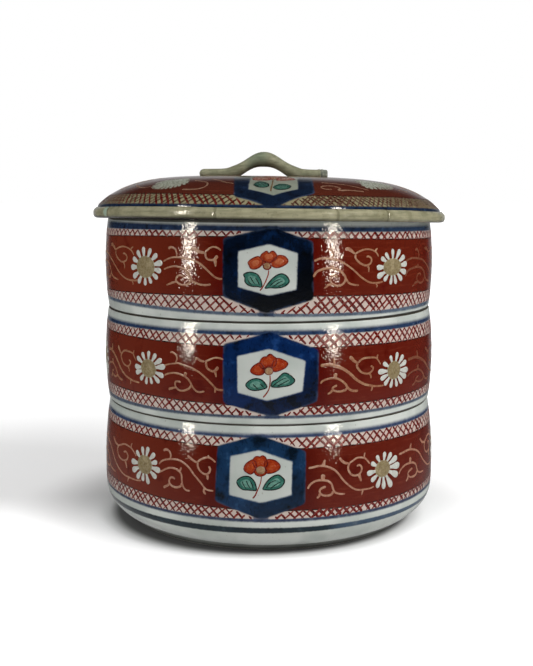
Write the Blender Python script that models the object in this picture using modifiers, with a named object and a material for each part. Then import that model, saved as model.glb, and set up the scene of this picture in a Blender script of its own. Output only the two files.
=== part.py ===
"""Round porcelain food box of three stacked tiers, with a domed lid and a bamboo-stem handle.

The origin is the centre of the foot, on the surface that the box stands on. +Z is up and
the painted front faces -Y. Each tier is a thrown tray. A ring under the middle and top
tiers drops into the mouth of the tier below, so a stack lifts apart but can't slide.
"""
import math

import bmesh
import bpy

# All sizes are in metres. Radii run out from the axis.

# Wall that the three tiers share
TIER_RADIUS = 0.0801            # outside of a tier at its mouth
BELLY_BULGE = 0.0015            # swell of the two upper tiers' walls, halfway up
BASE_TUCK = 0.0003              # how much narrower those walls are at their base
WALL = 0.0046
FLOOR = 0.0045
LIP_ROUND = 0.0011              # rounding of the outer edges at mouth and base
INNER_LIP_ROUND = 0.0007
COVE = 0.0045                   # rounding between floor and wall

# Stack
TIER_HEIGHT = 0.0442            # seat to mouth of the top and middle tiers
BASE_TIER_HEIGHT = 0.0579       # surface to mouth of the bottom tier
SEAT_GAP = 0.0003               # between a seat and what it rests on
SPIGOT_DEPTH = 0.0050           # ring under a tier that drops into the mouth below
SPIGOT_WALL = 0.0045
SPIGOT_CLEARANCE = 0.0010
SPIGOT_ROUND = 0.0008

# Foot of the bottom tier
FOOT_INSET = 0.0116             # foot's outer side, inside the mouth's radius
FOOT_WIDTH = 0.0048
FOOT_RECESS = 0.0040            # hollow inside the foot ring
BASE_FLARE = 0.0011             # how much wider its wall is, above the rounded base
BASE_BULGE = 0.0011             # swell of its wall, halfway up
BASE_MOUTH_TUCK = 0.0007        # how much its outside draws in at the mouth
BASE_ROUND_WIDTH = 0.0230       # half-axes of the rounding that curls in to the foot
BASE_ROUND_HEIGHT = 0.0168
BASE_COVE = 0.0070              # rounding inside it, between floor and wall

# Lid
LID_OVERHANG = 0.0072           # cane rim beyond the mouth's radius
LID_WALL = 0.0045
RIM_DROP = 0.0011               # how far the rim hangs below the mouth
RIM_CLEARANCE = 0.0012          # round the outside of the mouth
FLANGE_DEPTH = 0.0050           # ring inside the mouth
FLANGE_WALL = 0.0042
FLANGE_CLEARANCE = 0.0010
FLANGE_ROUND = 0.0009

# Rim shaped as a bamboo cane
CANE_NOSE_HEIGHT = 0.0026       # rim's lower edge to the foot of the dome's curve
CANE_SHOULDER_HEIGHT = 0.0040   # rim's lower edge to where the cane turns inwards
CANE_HEIGHT = 0.0053            # rim's lower edge to the groove above the cane
CANE_LOWER_ROUND = 0.0022
CANE_UPPER_ROUND = 0.0020
GROOVE_DEPTH = 0.0003
GROOVE_WIDTH = 0.0007

# Dome, whose height falls off as (1 - (r / R) ** DOME_FULLNESS) ** DOME_SHOULDER
DOME_RISE = 0.0177
DOME_FULLNESS = 4.75
DOME_SHOULDER = 0.75

# Knots of the cane, in degrees round from the front, unevenly spaced as on real bamboo
KNOT_ANGLES = (-58, -15, 20, 37, 80, 119, 163, 204, 251)
KNOT_WIDTH = 0.0016
KNOT_HEIGHT = 0.0004

# Handle, a bamboo stem that arches off the dome between two feet
HANDLE_LEFT = 0.0349            # reach from the axis to the rounded end
HANDLE_RIGHT = 0.0295           # reach from the axis to the cut end
STEM_RADIUS = 0.0025
STEM_TAPER = 0.00015            # radius that the stem gains from its middle to the cut end
STEM_SINK = 0.0012              # stem's lower side that is pressed flat on the dome
STEM_WIDTH_RATIO = 1.25         # width of the stem's section over its height
ARCH_CENTRE = -0.0023
ARCH_LIFT = 0.0074
ARCH_HALF_SPAN = 0.0193
KNUCKLE_HEIGHT = 0.0013         # swelling at the top of the arch
KNUCKLE_REACH = 0.0065
ANKLE_OFFSET = 0.0151           # arch's centre to the swelling where each limb meets the dome
ANKLE_HEIGHT = 0.00065
ANKLE_REACH = 0.0047
END_KNOT_INSET = 0.0035         # knot beside the cut end
END_KNOT_HEIGHT = 0.0004
END_KNOT_REACH = 0.0011
TIP_TAPER = 0.0024              # length of the rounded end
CUT_CHAMFER = 0.0007

# Facets
TURN_STEPS = 56
FILLET_STEPS = 2
BARREL_STEPS = 5
DOME_STEPS = 10
STEM_STEPS = 38
STEM_BEVEL = 4

# Colours are linear
IRON_RED = (0.105, 0.008, 0.005)
CELADON = (0.255, 0.235, 0.150)
LID_RED = (0.120, 0.030, 0.020)

# Sizes that follow from those above
MOUTH_BORE = TIER_RADIUS - WALL
SPIGOT_RADIUS = MOUTH_BORE - SPIGOT_CLEARANCE
FLANGE_RADIUS = MOUTH_BORE - FLANGE_CLEARANCE
LID_RADIUS = TIER_RADIUS + LID_OVERHANG
NOSE_HEIGHT = CANE_NOSE_HEIGHT - RIM_DROP
GROOVE_HEIGHT = CANE_HEIGHT - RIM_DROP
SHOULDER_HEIGHT = CANE_SHOULDER_HEIGHT - RIM_DROP


def collection(name):
    """Return a new collection linked to the scene."""
    group = bpy.data.collections.new(name)
    bpy.context.scene.collection.children.link(group)
    return group


def glaze(name, colour, roughness):
    """Return a Principled material for a glazed surface."""
    material = bpy.data.materials.new(name)
    material.use_nodes = True
    shader = material.node_tree.nodes["Principled BSDF"]
    shader.inputs["Base Color"].default_value = (*colour, 1)
    shader.inputs["Roughness"].default_value = roughness
    shader.inputs["Metallic"].default_value = 0
    return material


def fillet(before, corner, after, size):
    """Return the points of an arc that rounds a corner of an outline."""
    arms = []
    for neighbour in (before, after):
        run = (neighbour[0] - corner[0], neighbour[1] - corner[1])
        length = math.hypot(*run)
        arms.append((run[0] / length, run[1] / length, length))
    half_angle = math.acos(arms[0][0] * arms[1][0] + arms[0][1] * arms[1][1]) / 2
    setback = min(size / math.tan(half_angle), arms[0][2] / 2, arms[1][2] / 2)
    radius = setback * math.tan(half_angle)
    to_centre = radius / math.sin(half_angle)
    middle = (arms[0][0] + arms[1][0], arms[0][1] + arms[1][1])
    scale = to_centre / math.hypot(*middle)
    centre = (corner[0] + middle[0] * scale, corner[1] + middle[1] * scale)
    start = math.atan2(
        corner[1] + arms[0][1] * setback - centre[1],
        corner[0] + arms[0][0] * setback - centre[0],
    )
    end = math.atan2(
        corner[1] + arms[1][1] * setback - centre[1],
        corner[0] + arms[1][0] * setback - centre[0],
    )
    sweep = (end - start + math.pi) % (2 * math.pi) - math.pi
    angles = [start + sweep * step / FILLET_STEPS for step in range(FILLET_STEPS + 1)]
    return [(centre[0] + radius * math.cos(a), centre[1] + radius * math.sin(a)) for a in angles]


def rounded(corners):
    """Turn corners (radius, height, rounding) into the points of an outline."""
    points = []
    for index, corner in enumerate(corners):
        if len(corner) == 2:
            points.append(corner)
            continue
        points += fillet(corners[index - 1], corner, corners[index + 1], corner[2])
    return points


def turned(name, outline, group, material):
    """Return a solid of revolution from an outline that runs down its outer side."""
    mesh = bpy.data.meshes.new(name)
    shape = bmesh.new()
    verts = [shape.verts.new((radius, 0, height)) for radius, height in outline]
    for upper, lower in zip(verts, verts[1:]):
        shape.edges.new((upper, lower))
    shape.to_mesh(mesh)
    shape.free()
    mesh.materials.append(material)
    turned_object = bpy.data.objects.new(name, mesh)
    group.objects.link(turned_object)
    screw = turned_object.modifiers.new("Turn", "SCREW")
    screw.axis = "Z"
    screw.angle = 2 * math.pi
    screw.screw_offset = 0
    screw.steps = TURN_STEPS
    screw.render_steps = TURN_STEPS
    screw.use_merge_vertices = True
    screw.merge_threshold = 0.00001
    screw.use_smooth_shade = True
    return turned_object


def barrel_side(base_radius, mouth_radius, low, high, bulge, inset, steps):
    """Return the points between the ends of a wall's side, from its base to its mouth."""
    points = []
    for step in range(1, steps):
        share = step / steps
        straight = base_radius + (mouth_radius - base_radius) * share
        points.append((straight + bulge * 4 * share * (1 - share) - inset, low + (high - low) * share))
    return points


def tray_inside(base_radius, mouth_radius, floor_top, cove, wall_low, mouth, bulge):
    """Return the corners of a tier's inside, from the floor's centre to the outer lip."""
    return [
        (0, floor_top),
        (base_radius - WALL, floor_top, cove),
        *barrel_side(base_radius, TIER_RADIUS, wall_low, mouth, bulge, WALL, BARREL_STEPS - 2),
        (MOUTH_BORE, mouth, INNER_LIP_ROUND),
        (mouth_radius, mouth, LIP_ROUND),
    ]


def upper_tier(name, group, material):
    """Return a tray with a spigot ring under it, its seat at height zero."""
    base_radius = TIER_RADIUS - BASE_TUCK
    spigot_bore = SPIGOT_RADIUS - SPIGOT_WALL
    side = barrel_side(base_radius, TIER_RADIUS, 0, TIER_HEIGHT, BELLY_BULGE, 0, BARREL_STEPS)
    outline = rounded([
        *tray_inside(base_radius, TIER_RADIUS, FLOOR, COVE, 0, TIER_HEIGHT, BELLY_BULGE),
        *reversed(side),
        (base_radius, 0, LIP_ROUND),
        (SPIGOT_RADIUS, 0),
        (SPIGOT_RADIUS, -SPIGOT_DEPTH, SPIGOT_ROUND),
        (spigot_bore, -SPIGOT_DEPTH, SPIGOT_ROUND),
        (spigot_bore, 0),
        (0, 0),
    ])
    return turned(name, outline, group, material)


def bottom_tier(name, group, material):
    """Return the deeper tray, with a rounded base on a foot ring."""
    base_radius = TIER_RADIUS + BASE_FLARE
    foot_radius = TIER_RADIUS - FOOT_INSET
    foot_bore = foot_radius - FOOT_WIDTH
    mouth_radius = TIER_RADIUS - BASE_MOUTH_TUCK
    round_centre = base_radius - BASE_ROUND_WIDTH
    foot_angle = math.acos((foot_radius - round_centre) / BASE_ROUND_WIDTH)
    wall = (BASE_ROUND_HEIGHT, BASE_TIER_HEIGHT, BASE_BULGE)
    side = barrel_side(base_radius, mouth_radius, *wall, 0, BARREL_STEPS)
    base_round = []
    for step in range(BARREL_STEPS + 1):
        angle = foot_angle * step / BARREL_STEPS
        base_round.append((
            round_centre + BASE_ROUND_WIDTH * math.cos(angle),
            BASE_ROUND_HEIGHT * (1 - math.sin(angle)),
        ))
    outline = rounded([
        *tray_inside(base_radius, mouth_radius, FOOT_RECESS + FLOOR, BASE_COVE, *wall),
        *reversed(side),
        *base_round,
        (foot_radius, 0),
        (foot_bore, 0),
        (foot_bore, FOOT_RECESS),
        (0, FOOT_RECESS),
    ])
    return turned(name, outline, group, material)


def dome_height(radius):
    """Height of the lid's upper surface over its seat."""
    share = radius / LID_RADIUS
    return NOSE_HEIGHT + DOME_RISE * (1 - share ** DOME_FULLNESS) ** DOME_SHOULDER


def dome_radius(height):
    """Radius at which the lid's upper surface passes a height over its seat."""
    share = (height - NOSE_HEIGHT) / DOME_RISE
    return LID_RADIUS * (1 - share ** (1 / DOME_SHOULDER)) ** (1 / DOME_FULLNESS)


def dome_side(outer, raised):
    """Return points of the dome, or of a surface parallel to it, from the axis outwards."""
    radii = [outer * math.sin(math.pi / 2 * step / DOME_STEPS) for step in range(DOME_STEPS + 1)]
    return [(radius, dome_height(radius) + raised) for radius in radii]


def cane_corners(swell):
    """Return the corners of the cane's outer side, from its groove to its lower edge."""
    return [
        (dome_radius(GROOVE_HEIGHT) + swell, GROOVE_HEIGHT + swell),
        (LID_RADIUS + swell, SHOULDER_HEIGHT, CANE_UPPER_ROUND),
        (LID_RADIUS + swell, -RIM_DROP - swell, CANE_LOWER_ROUND),
    ]


def cane_knots(group, material):
    """Return the raised knots of the cane, as one object of thin upright slabs."""
    inner = TIER_RADIUS + RIM_CLEARANCE + CANE_LOWER_ROUND / 2
    section = rounded([
        *cane_corners(KNOT_HEIGHT),
        (inner, -RIM_DROP - KNOT_HEIGHT),
        (inner, GROOVE_HEIGHT),
        cane_corners(KNOT_HEIGHT)[0],
    ])[:-1]
    shape = bmesh.new()
    for degrees in KNOT_ANGLES:
        angle = math.radians(degrees)
        outward = (math.sin(angle), -math.cos(angle))
        across = (math.cos(angle), math.sin(angle))
        rings = []
        for side in (-KNOT_WIDTH / 2, KNOT_WIDTH / 2):
            rings.append([
                shape.verts.new((
                    outward[0] * radius + across[0] * side,
                    outward[1] * radius + across[1] * side,
                    height,
                ))
                for radius, height in section
            ])
        shape.faces.new(rings[0])
        shape.faces.new(reversed(rings[1]))
        for index in range(len(section)):
            after = (index + 1) % len(section)
            shape.faces.new((rings[0][after], rings[0][index], rings[1][index], rings[1][after]))
    bmesh.ops.recalc_face_normals(shape, faces=shape.faces)
    mesh = bpy.data.meshes.new("cane_knots")
    shape.to_mesh(mesh)
    shape.free()
    mesh.materials.append(material)
    knots = bpy.data.objects.new("cane_knots", mesh)
    group.objects.link(knots)
    return knots


def lid(name, group, cutters, material):
    """Return the hollow domed lid with its cane rim, its seat at height zero."""
    flange_bore = FLANGE_RADIUS - FLANGE_WALL
    rim_bore = TIER_RADIUS + RIM_CLEARANCE
    groove_top = GROOVE_HEIGHT + GROOVE_WIDTH
    groove_floor = (
        dome_radius(GROOVE_HEIGHT + GROOVE_WIDTH / 2) - GROOVE_DEPTH,
        GROOVE_HEIGHT + GROOVE_WIDTH / 2 - GROOVE_DEPTH,
    )
    outline = rounded([
        *dome_side(dome_radius(groove_top), 0),
        groove_floor,
        *cane_corners(0),
        (rim_bore, -RIM_DROP),
        (rim_bore, 0),
        (FLANGE_RADIUS, 0),
        (FLANGE_RADIUS, -FLANGE_DEPTH, FLANGE_ROUND),
        (flange_bore, -FLANGE_DEPTH, FLANGE_ROUND),
        *reversed(dome_side(flange_bore, -LID_WALL)),
    ])
    lid_object = turned(name, outline, group, material)
    knots = cane_knots(cutters, material)
    hide_tool(knots)
    join = lid_object.modifiers.new("Knots", "BOOLEAN")
    join.operation = "UNION"
    join.solver = "EXACT"
    join.object = knots
    return lid_object, knots


def hide_tool(tool):
    """Mark an object as one that only shapes another."""
    tool.hide_render = True
    tool.display_type = "WIRE"


def swelling(distance, height, reach):
    """Return a smooth bump's height at a distance from its middle."""
    return height * math.exp(-((distance / reach) ** 2))


def stem_point(share):
    """Return the place and radius of the stem's centre line, from rounded end to cut end."""
    along = -HANDLE_LEFT + (HANDLE_LEFT + HANDLE_RIGHT) * share
    from_arch = along - ARCH_CENTRE
    lift = 0.0
    if abs(from_arch) < ARCH_HALF_SPAN:
        lift = ARCH_LIFT * math.cos(math.pi / 2 * from_arch / ARCH_HALF_SPAN) ** 2
    radius = STEM_RADIUS + STEM_TAPER * along / HANDLE_RIGHT
    radius += swelling(from_arch, KNUCKLE_HEIGHT, KNUCKLE_REACH)
    radius += swelling(abs(from_arch) - ANKLE_OFFSET, ANKLE_HEIGHT, ANKLE_REACH)
    radius += swelling(HANDLE_RIGHT - END_KNOT_INSET - along, END_KNOT_HEIGHT, END_KNOT_REACH)
    from_tip = along + HANDLE_LEFT
    if from_tip < TIP_TAPER:
        radius *= math.sqrt(1 - 0.9 * (1 - from_tip / TIP_TAPER) ** 2)
    from_cut = HANDLE_RIGHT - along
    if from_cut < CUT_CHAMFER:
        radius -= CUT_CHAMFER - from_cut
    height = dome_height(abs(along)) + STEM_RADIUS - STEM_SINK + lift
    return along, height, radius


def stem_shares():
    """Return the stem's stations, closer together at both ends."""
    length = HANDLE_LEFT + HANDLE_RIGHT
    tip = [TIP_TAPER / length * step / 3 for step in range(3)]
    cut = 1 - CUT_CHAMFER / length
    first = TIP_TAPER / length
    body = [first + (cut - first) * step / STEM_STEPS for step in range(STEM_STEPS + 1)]
    return [*tip, *body, 1]


def stem_tube(name, group, material):
    """Return the whole round stem as a mesh, before its feet are pressed on the dome."""
    curve = bpy.data.curves.new(name, "CURVE")
    curve.dimensions = "3D"
    curve.fill_mode = "FULL"
    curve.bevel_depth = 1
    curve.bevel_resolution = STEM_BEVEL
    curve.use_fill_caps = True
    spline = curve.splines.new("POLY")
    stations = [stem_point(share) for share in stem_shares()]
    spline.points.add(len(stations) - 1)
    for point, (along, height, radius) in zip(spline.points, stations):
        point.co = (along, 0, height, 1)
        point.radius = radius
    guide = bpy.data.objects.new(name + "_curve", curve)
    group.objects.link(guide)
    depsgraph = bpy.context.evaluated_depsgraph_get()
    mesh = bpy.data.meshes.new_from_object(guide.evaluated_get(depsgraph))
    bpy.data.objects.remove(guide)
    mesh.name = name
    shape = bmesh.new()
    shape.from_mesh(mesh)
    bmesh.ops.remove_doubles(shape, verts=shape.verts, dist=0.000001)
    for vert in shape.verts:
        vert.co.y *= STEM_WIDTH_RATIO
    bmesh.ops.recalc_face_normals(shape, faces=shape.faces)
    shape.to_mesh(mesh)
    shape.free()
    mesh.materials.clear()
    mesh.materials.append(material)
    mesh.shade_smooth()
    mesh.set_sharp_from_angle(angle=math.radians(40))
    return bpy.data.objects.new(name, mesh)


def handle(name, group, cutters, material):
    """Return the stem with its underside cut to lie on the dome."""
    stem = stem_tube(name, cutters, material)
    group.objects.link(stem)
    reach = max(HANDLE_LEFT, HANDLE_RIGHT) + STEM_RADIUS * 2
    top = dome_side(reach, SEAT_GAP)
    bed = turned("dome_bed", [*top, (reach, 0), (0, 0)], cutters, material)
    hide_tool(bed)
    press = stem.modifiers.new("Press on dome", "BOOLEAN")
    press.operation = "DIFFERENCE"
    press.solver = "EXACT"
    press.object = bed
    return stem, bed


def place(child, parent, height):
    """Stand an object on its parent's axis, at a height above the parent's origin."""
    child.parent = parent
    child.location = (0, 0, height)


def main():
    for old in list(bpy.data.objects):
        bpy.data.objects.remove(old)
    parts = collection("porcelain_lunch_box")
    cutters = collection("cutters")
    bottom = bottom_tier("bottom_tier", parts, glaze("bottom_tier_glaze", IRON_RED, 0.16))
    middle = upper_tier("middle_tier", parts, glaze("middle_tier_glaze", IRON_RED, 0.16))
    top = upper_tier("top_tier", parts, glaze("top_tier_glaze", IRON_RED, 0.16))
    cover, knots = lid("lid", parts, cutters, glaze("lid_glaze", LID_RED, 0.20))
    stem, bed = handle("lid_handle", parts, cutters, glaze("handle_glaze", CELADON, 0.18))
    place(middle, bottom, BASE_TIER_HEIGHT + SEAT_GAP)
    place(top, middle, TIER_HEIGHT + SEAT_GAP)
    place(cover, top, TIER_HEIGHT + SEAT_GAP)
    for carried in (stem, knots, bed):
        place(carried, cover, 0)


main()
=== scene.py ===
"""Looks of the stacked porcelain food box: painted tiers, lid with a cane rim, and stem handle.

The lathe outlines repeat the named sizes of the part's source. Lengths are in millimetres
until a mesh is made. Painted marks that stand on the glaze are thin raised meshes, placed on
the curved walls from flat coordinates: mm round the wall from the front, and mm up.
"""

import math
import random

import bmesh
import bpy
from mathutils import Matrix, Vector


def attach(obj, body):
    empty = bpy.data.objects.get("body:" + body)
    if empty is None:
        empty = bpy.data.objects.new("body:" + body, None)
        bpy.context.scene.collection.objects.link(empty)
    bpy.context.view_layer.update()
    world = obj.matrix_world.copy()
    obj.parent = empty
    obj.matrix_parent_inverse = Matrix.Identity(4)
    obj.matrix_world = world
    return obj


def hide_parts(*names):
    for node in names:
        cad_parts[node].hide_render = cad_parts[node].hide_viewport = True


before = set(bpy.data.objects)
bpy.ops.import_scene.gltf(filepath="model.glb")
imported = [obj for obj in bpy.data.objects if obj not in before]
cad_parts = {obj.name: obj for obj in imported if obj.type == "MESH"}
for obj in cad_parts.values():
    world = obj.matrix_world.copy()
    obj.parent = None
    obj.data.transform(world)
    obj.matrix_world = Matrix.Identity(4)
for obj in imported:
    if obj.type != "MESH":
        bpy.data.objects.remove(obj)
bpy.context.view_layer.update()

# Sizes of the tiers, as in the part's source
TIER_RADIUS = 80.1
WALL = 4.6
FLOOR = 4.5
COVE = 4.5
LIP_ROUND = 1.1
INNER_LIP_ROUND = 0.7
MOUTH_BORE = TIER_RADIUS - WALL
SPIGOT_DEPTH = 5.0
SPIGOT_WALL = 4.5
SPIGOT_ROUND = 0.8
SPIGOT_RADIUS = MOUTH_BORE - 1.0
FOOT_RADIUS = 68.5
FOOT_WIDTH = 4.8
FOOT_RECESS = 4.0
BASE_ROUND_WIDTH = 23.0
BASE_COVE = 7.0
FOOT_BEVEL = 0.4
FOOT_BEVEL_HEIGHT = 0.25

# Walls: height of base and mouth, radius at the base and outside the mouth, swell halfway up
WALLS = {
    "bottom_tier": (16.8, 57.9, 81.2, 79.4, 1.1),
    "middle_tier": (58.2, 102.4, 79.8, 80.1, 1.5),
    "top_tier": (102.7, 146.9, 79.8, 80.1, 1.5),
}

# Sizes of the lid
LID_SEAT = 147.2
LID_RADIUS = 87.3
RIM_DROP = 1.1
RIM_BORE = 81.3
FLANGE_RADIUS = 74.5
FLANGE_WALL = 4.2
FLANGE_DEPTH = 5.0
FLANGE_ROUND = 0.9
LID_WALL = 4.5
NOSE_HEIGHT = 1.5
SHOULDER_HEIGHT = 2.9
GROOVE_HEIGHT = 4.2
GROOVE_DEPTH = 0.3
GROOVE_WIDTH = 0.7
DOME_RISE = 17.7
DOME_FULLNESS = 4.75
DOME_SHOULDER = 0.75
KNOT_ANGLES = (-58, -15, 20, 37, 80, 119, 163, 204, 251)
KNOT_HEIGHT = 0.4

# Warp of the lid: fall per mm to the right, lift of its rim, and sag of its left and right
LID_TILT = 0.01465
RIM_LIFT = 0.6
SIDE_SAG = 2.0

# Sizes of the handle
HANDLE_LEFT = 34.9
HANDLE_RIGHT = 29.5
STEM_RADIUS = 2.5
STEM_TAPER = 0.15
STEM_SINK = 1.2
STEM_WIDTH_RATIO = 1.25
ARCH_CENTRE = -2.3
ARCH_LIFT = 7.4
ARCH_HALF_SPAN = 19.3
ANKLE_OFFSET = 15.1
HANDLE_TOP = 178.86
TIP_LENGTH = 2.4
CUT_ROUND = 0.7
KNOT_FROM_CUT = 3.5
CUT_GLAZE = 3.6

# Camera: place in metres, tilt in degrees, focal length in mm and shift of the lens
CAMERA_PLACE = (0, -0.5299, 0.1593)
CAMERA_TILT = 88
LENS_LENGTH = 56.81
LENS_SHIFT = (-0.00345, -0.1584)

# Lamps, in metres: the height they are aimed at, and the upright strips' height and degrees
MIDDLE_HEIGHT = 0.09
STRIP_HEIGHT = 0.36
STRIP_ANGLES = (-53, 42)

# Flat marks are laid out in mm round a circle of this radius: half a turn and a degree of it
SPREAD_RADIUS = 81.4
HALF_TURN = SPREAD_RADIUS * math.pi
ARC = HALF_TURN / 180

# Height of the middle of each tier's red band
MIDDLES = {"top_tier": 126.35, "middle_tier": 79.0, "bottom_tier": 35.05}

# Edges of the painted bands of each tier from the mouth down, between white, blue, hatch, red,
# hatch, blue and white. They wander, so each is a height in mm as a series in the turn round
# the tier from the front: constant, cosine, sine, then cosine and sine of the double turn
EDGES = {
    "top_tier": (
        (143.64, 0.76, -1.13, 0.00, 0.00), (141.25, 0.15, -0.55, 0.50, -0.11),
        (137.92, 0.55, -0.34, 0.97, -0.50), (112.70, 0.44, -0.05, 1.02, -0.20),
        (107.34, -0.13, -0.72, -0.48, -0.55), (105.58, -0.01, -1.12, -0.35, -0.28),
    ),
    "middle_tier": (
        (99.15, 0.03, -0.16, 0.14, 0.25), (96.96, 0.06, 0.10, 0.20, -0.11),
        (91.83, 0.13, -1.49, 0.13, 0.18), (67.03, -0.17, 0.07, -0.27, -0.80),
        (62.45, 0.05, 0.19, -0.04, -0.19), (60.84, 0.15, 0.61, 0.12, -0.42),
    ),
    "bottom_tier": (
        (54.45, 0.04, -0.60, -0.07, 0.42), (52.56, 0.07, -0.30, 0.05, 0.16),
        (48.04, 0.07, -1.15, 0.12, -0.02), (22.05, -0.13, -0.82, -0.42, -0.37),
        (18.00, 0.01, 0.02, -0.25, 0.05), (16.58, -0.02, -0.23, -0.26, 0.17),
    ),
}

# Edges above and below each hatched band
HATCH_BANDS = ((1, 2), (3, 4))

# The two blue lines: edge above, edge below, and how soft each is in mm
BLUE_LINES = ((0, 1, 1.9, 0.7), (4, 5, 0.6, 1.0))

# Edges of the broad line round the bottom tier's foot, as in EDGES
BASE_LINE = ((13.75, 0.0, 0.0, 0.0, 0.05), (11.4, -0.25, 0.15, -0.15, 0.3))

# Hexagon frames of the medallions: corners of the blue's outer and inner edges, in mm
# right of the tier's front line, and in mm of height
FRAMES = {
    "top_tier": (
        ((-20.0, 139.0), (0.8, 144.0), (19.5, 137.6), (19.6, 112.3), (-1.0, 106.6), (-20.2, 113.6)),
        ((-13.3, 133.4), (0.2, 136.6), (12.6, 132.6), (12.0, 116.9), (0.0, 114.3), (-13.4, 118.0)),
    ),
    "middle_tier": (
        ((-20.0, 93.3), (0.8, 98.8), (22.0, 90.8), (21.5, 68.2), (1.4, 61.9), (-20.1, 67.6)),
        ((-13.7, 88.3), (0.2, 91.6), (16.0, 86.2), (14.8, 72.9), (-0.6, 69.0), (-13.6, 72.4)),
    ),
    "bottom_tier": (
        ((-22.8, 48.9), (-4.4, 54.3), (16.3, 46.9), (15.8, 24.0), (-3.2, 17.4), (-23.7, 24.7)),
        ((-16.9, 44.7), (-4.3, 47.7), (10.3, 42.6), (9.8, 28.1), (-3.4, 24.8), (-17.3, 27.9)),
    ),
    "lid": (
        ((-16.0, 44.0), (-15.0, 79.2), (1.8, 86.6), (19.9, 75.2), (19.4, 44.0), (2.2, 35.0)),
        ((-8.0, 47.0), (-9.0, 74.2), (1.9, 79.4), (12.8, 72.9), (13.2, 47.0), (2.3, 42.0)),
    ),
}

# Degrees round each tier, from the front, of its daisies
DAISY_ANGLES = {
    "top_tier": (43.0, 88.5, 134.0, 226.0, 271.5, 317.2),
    "middle_tier": (43.9, 89.0, 134.5, 219.0, 250.0, 282.5, 318.4),
    "bottom_tier": (38.8, 81.5, 127.0, 224.0, 270.0, 316.5),
}

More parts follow.
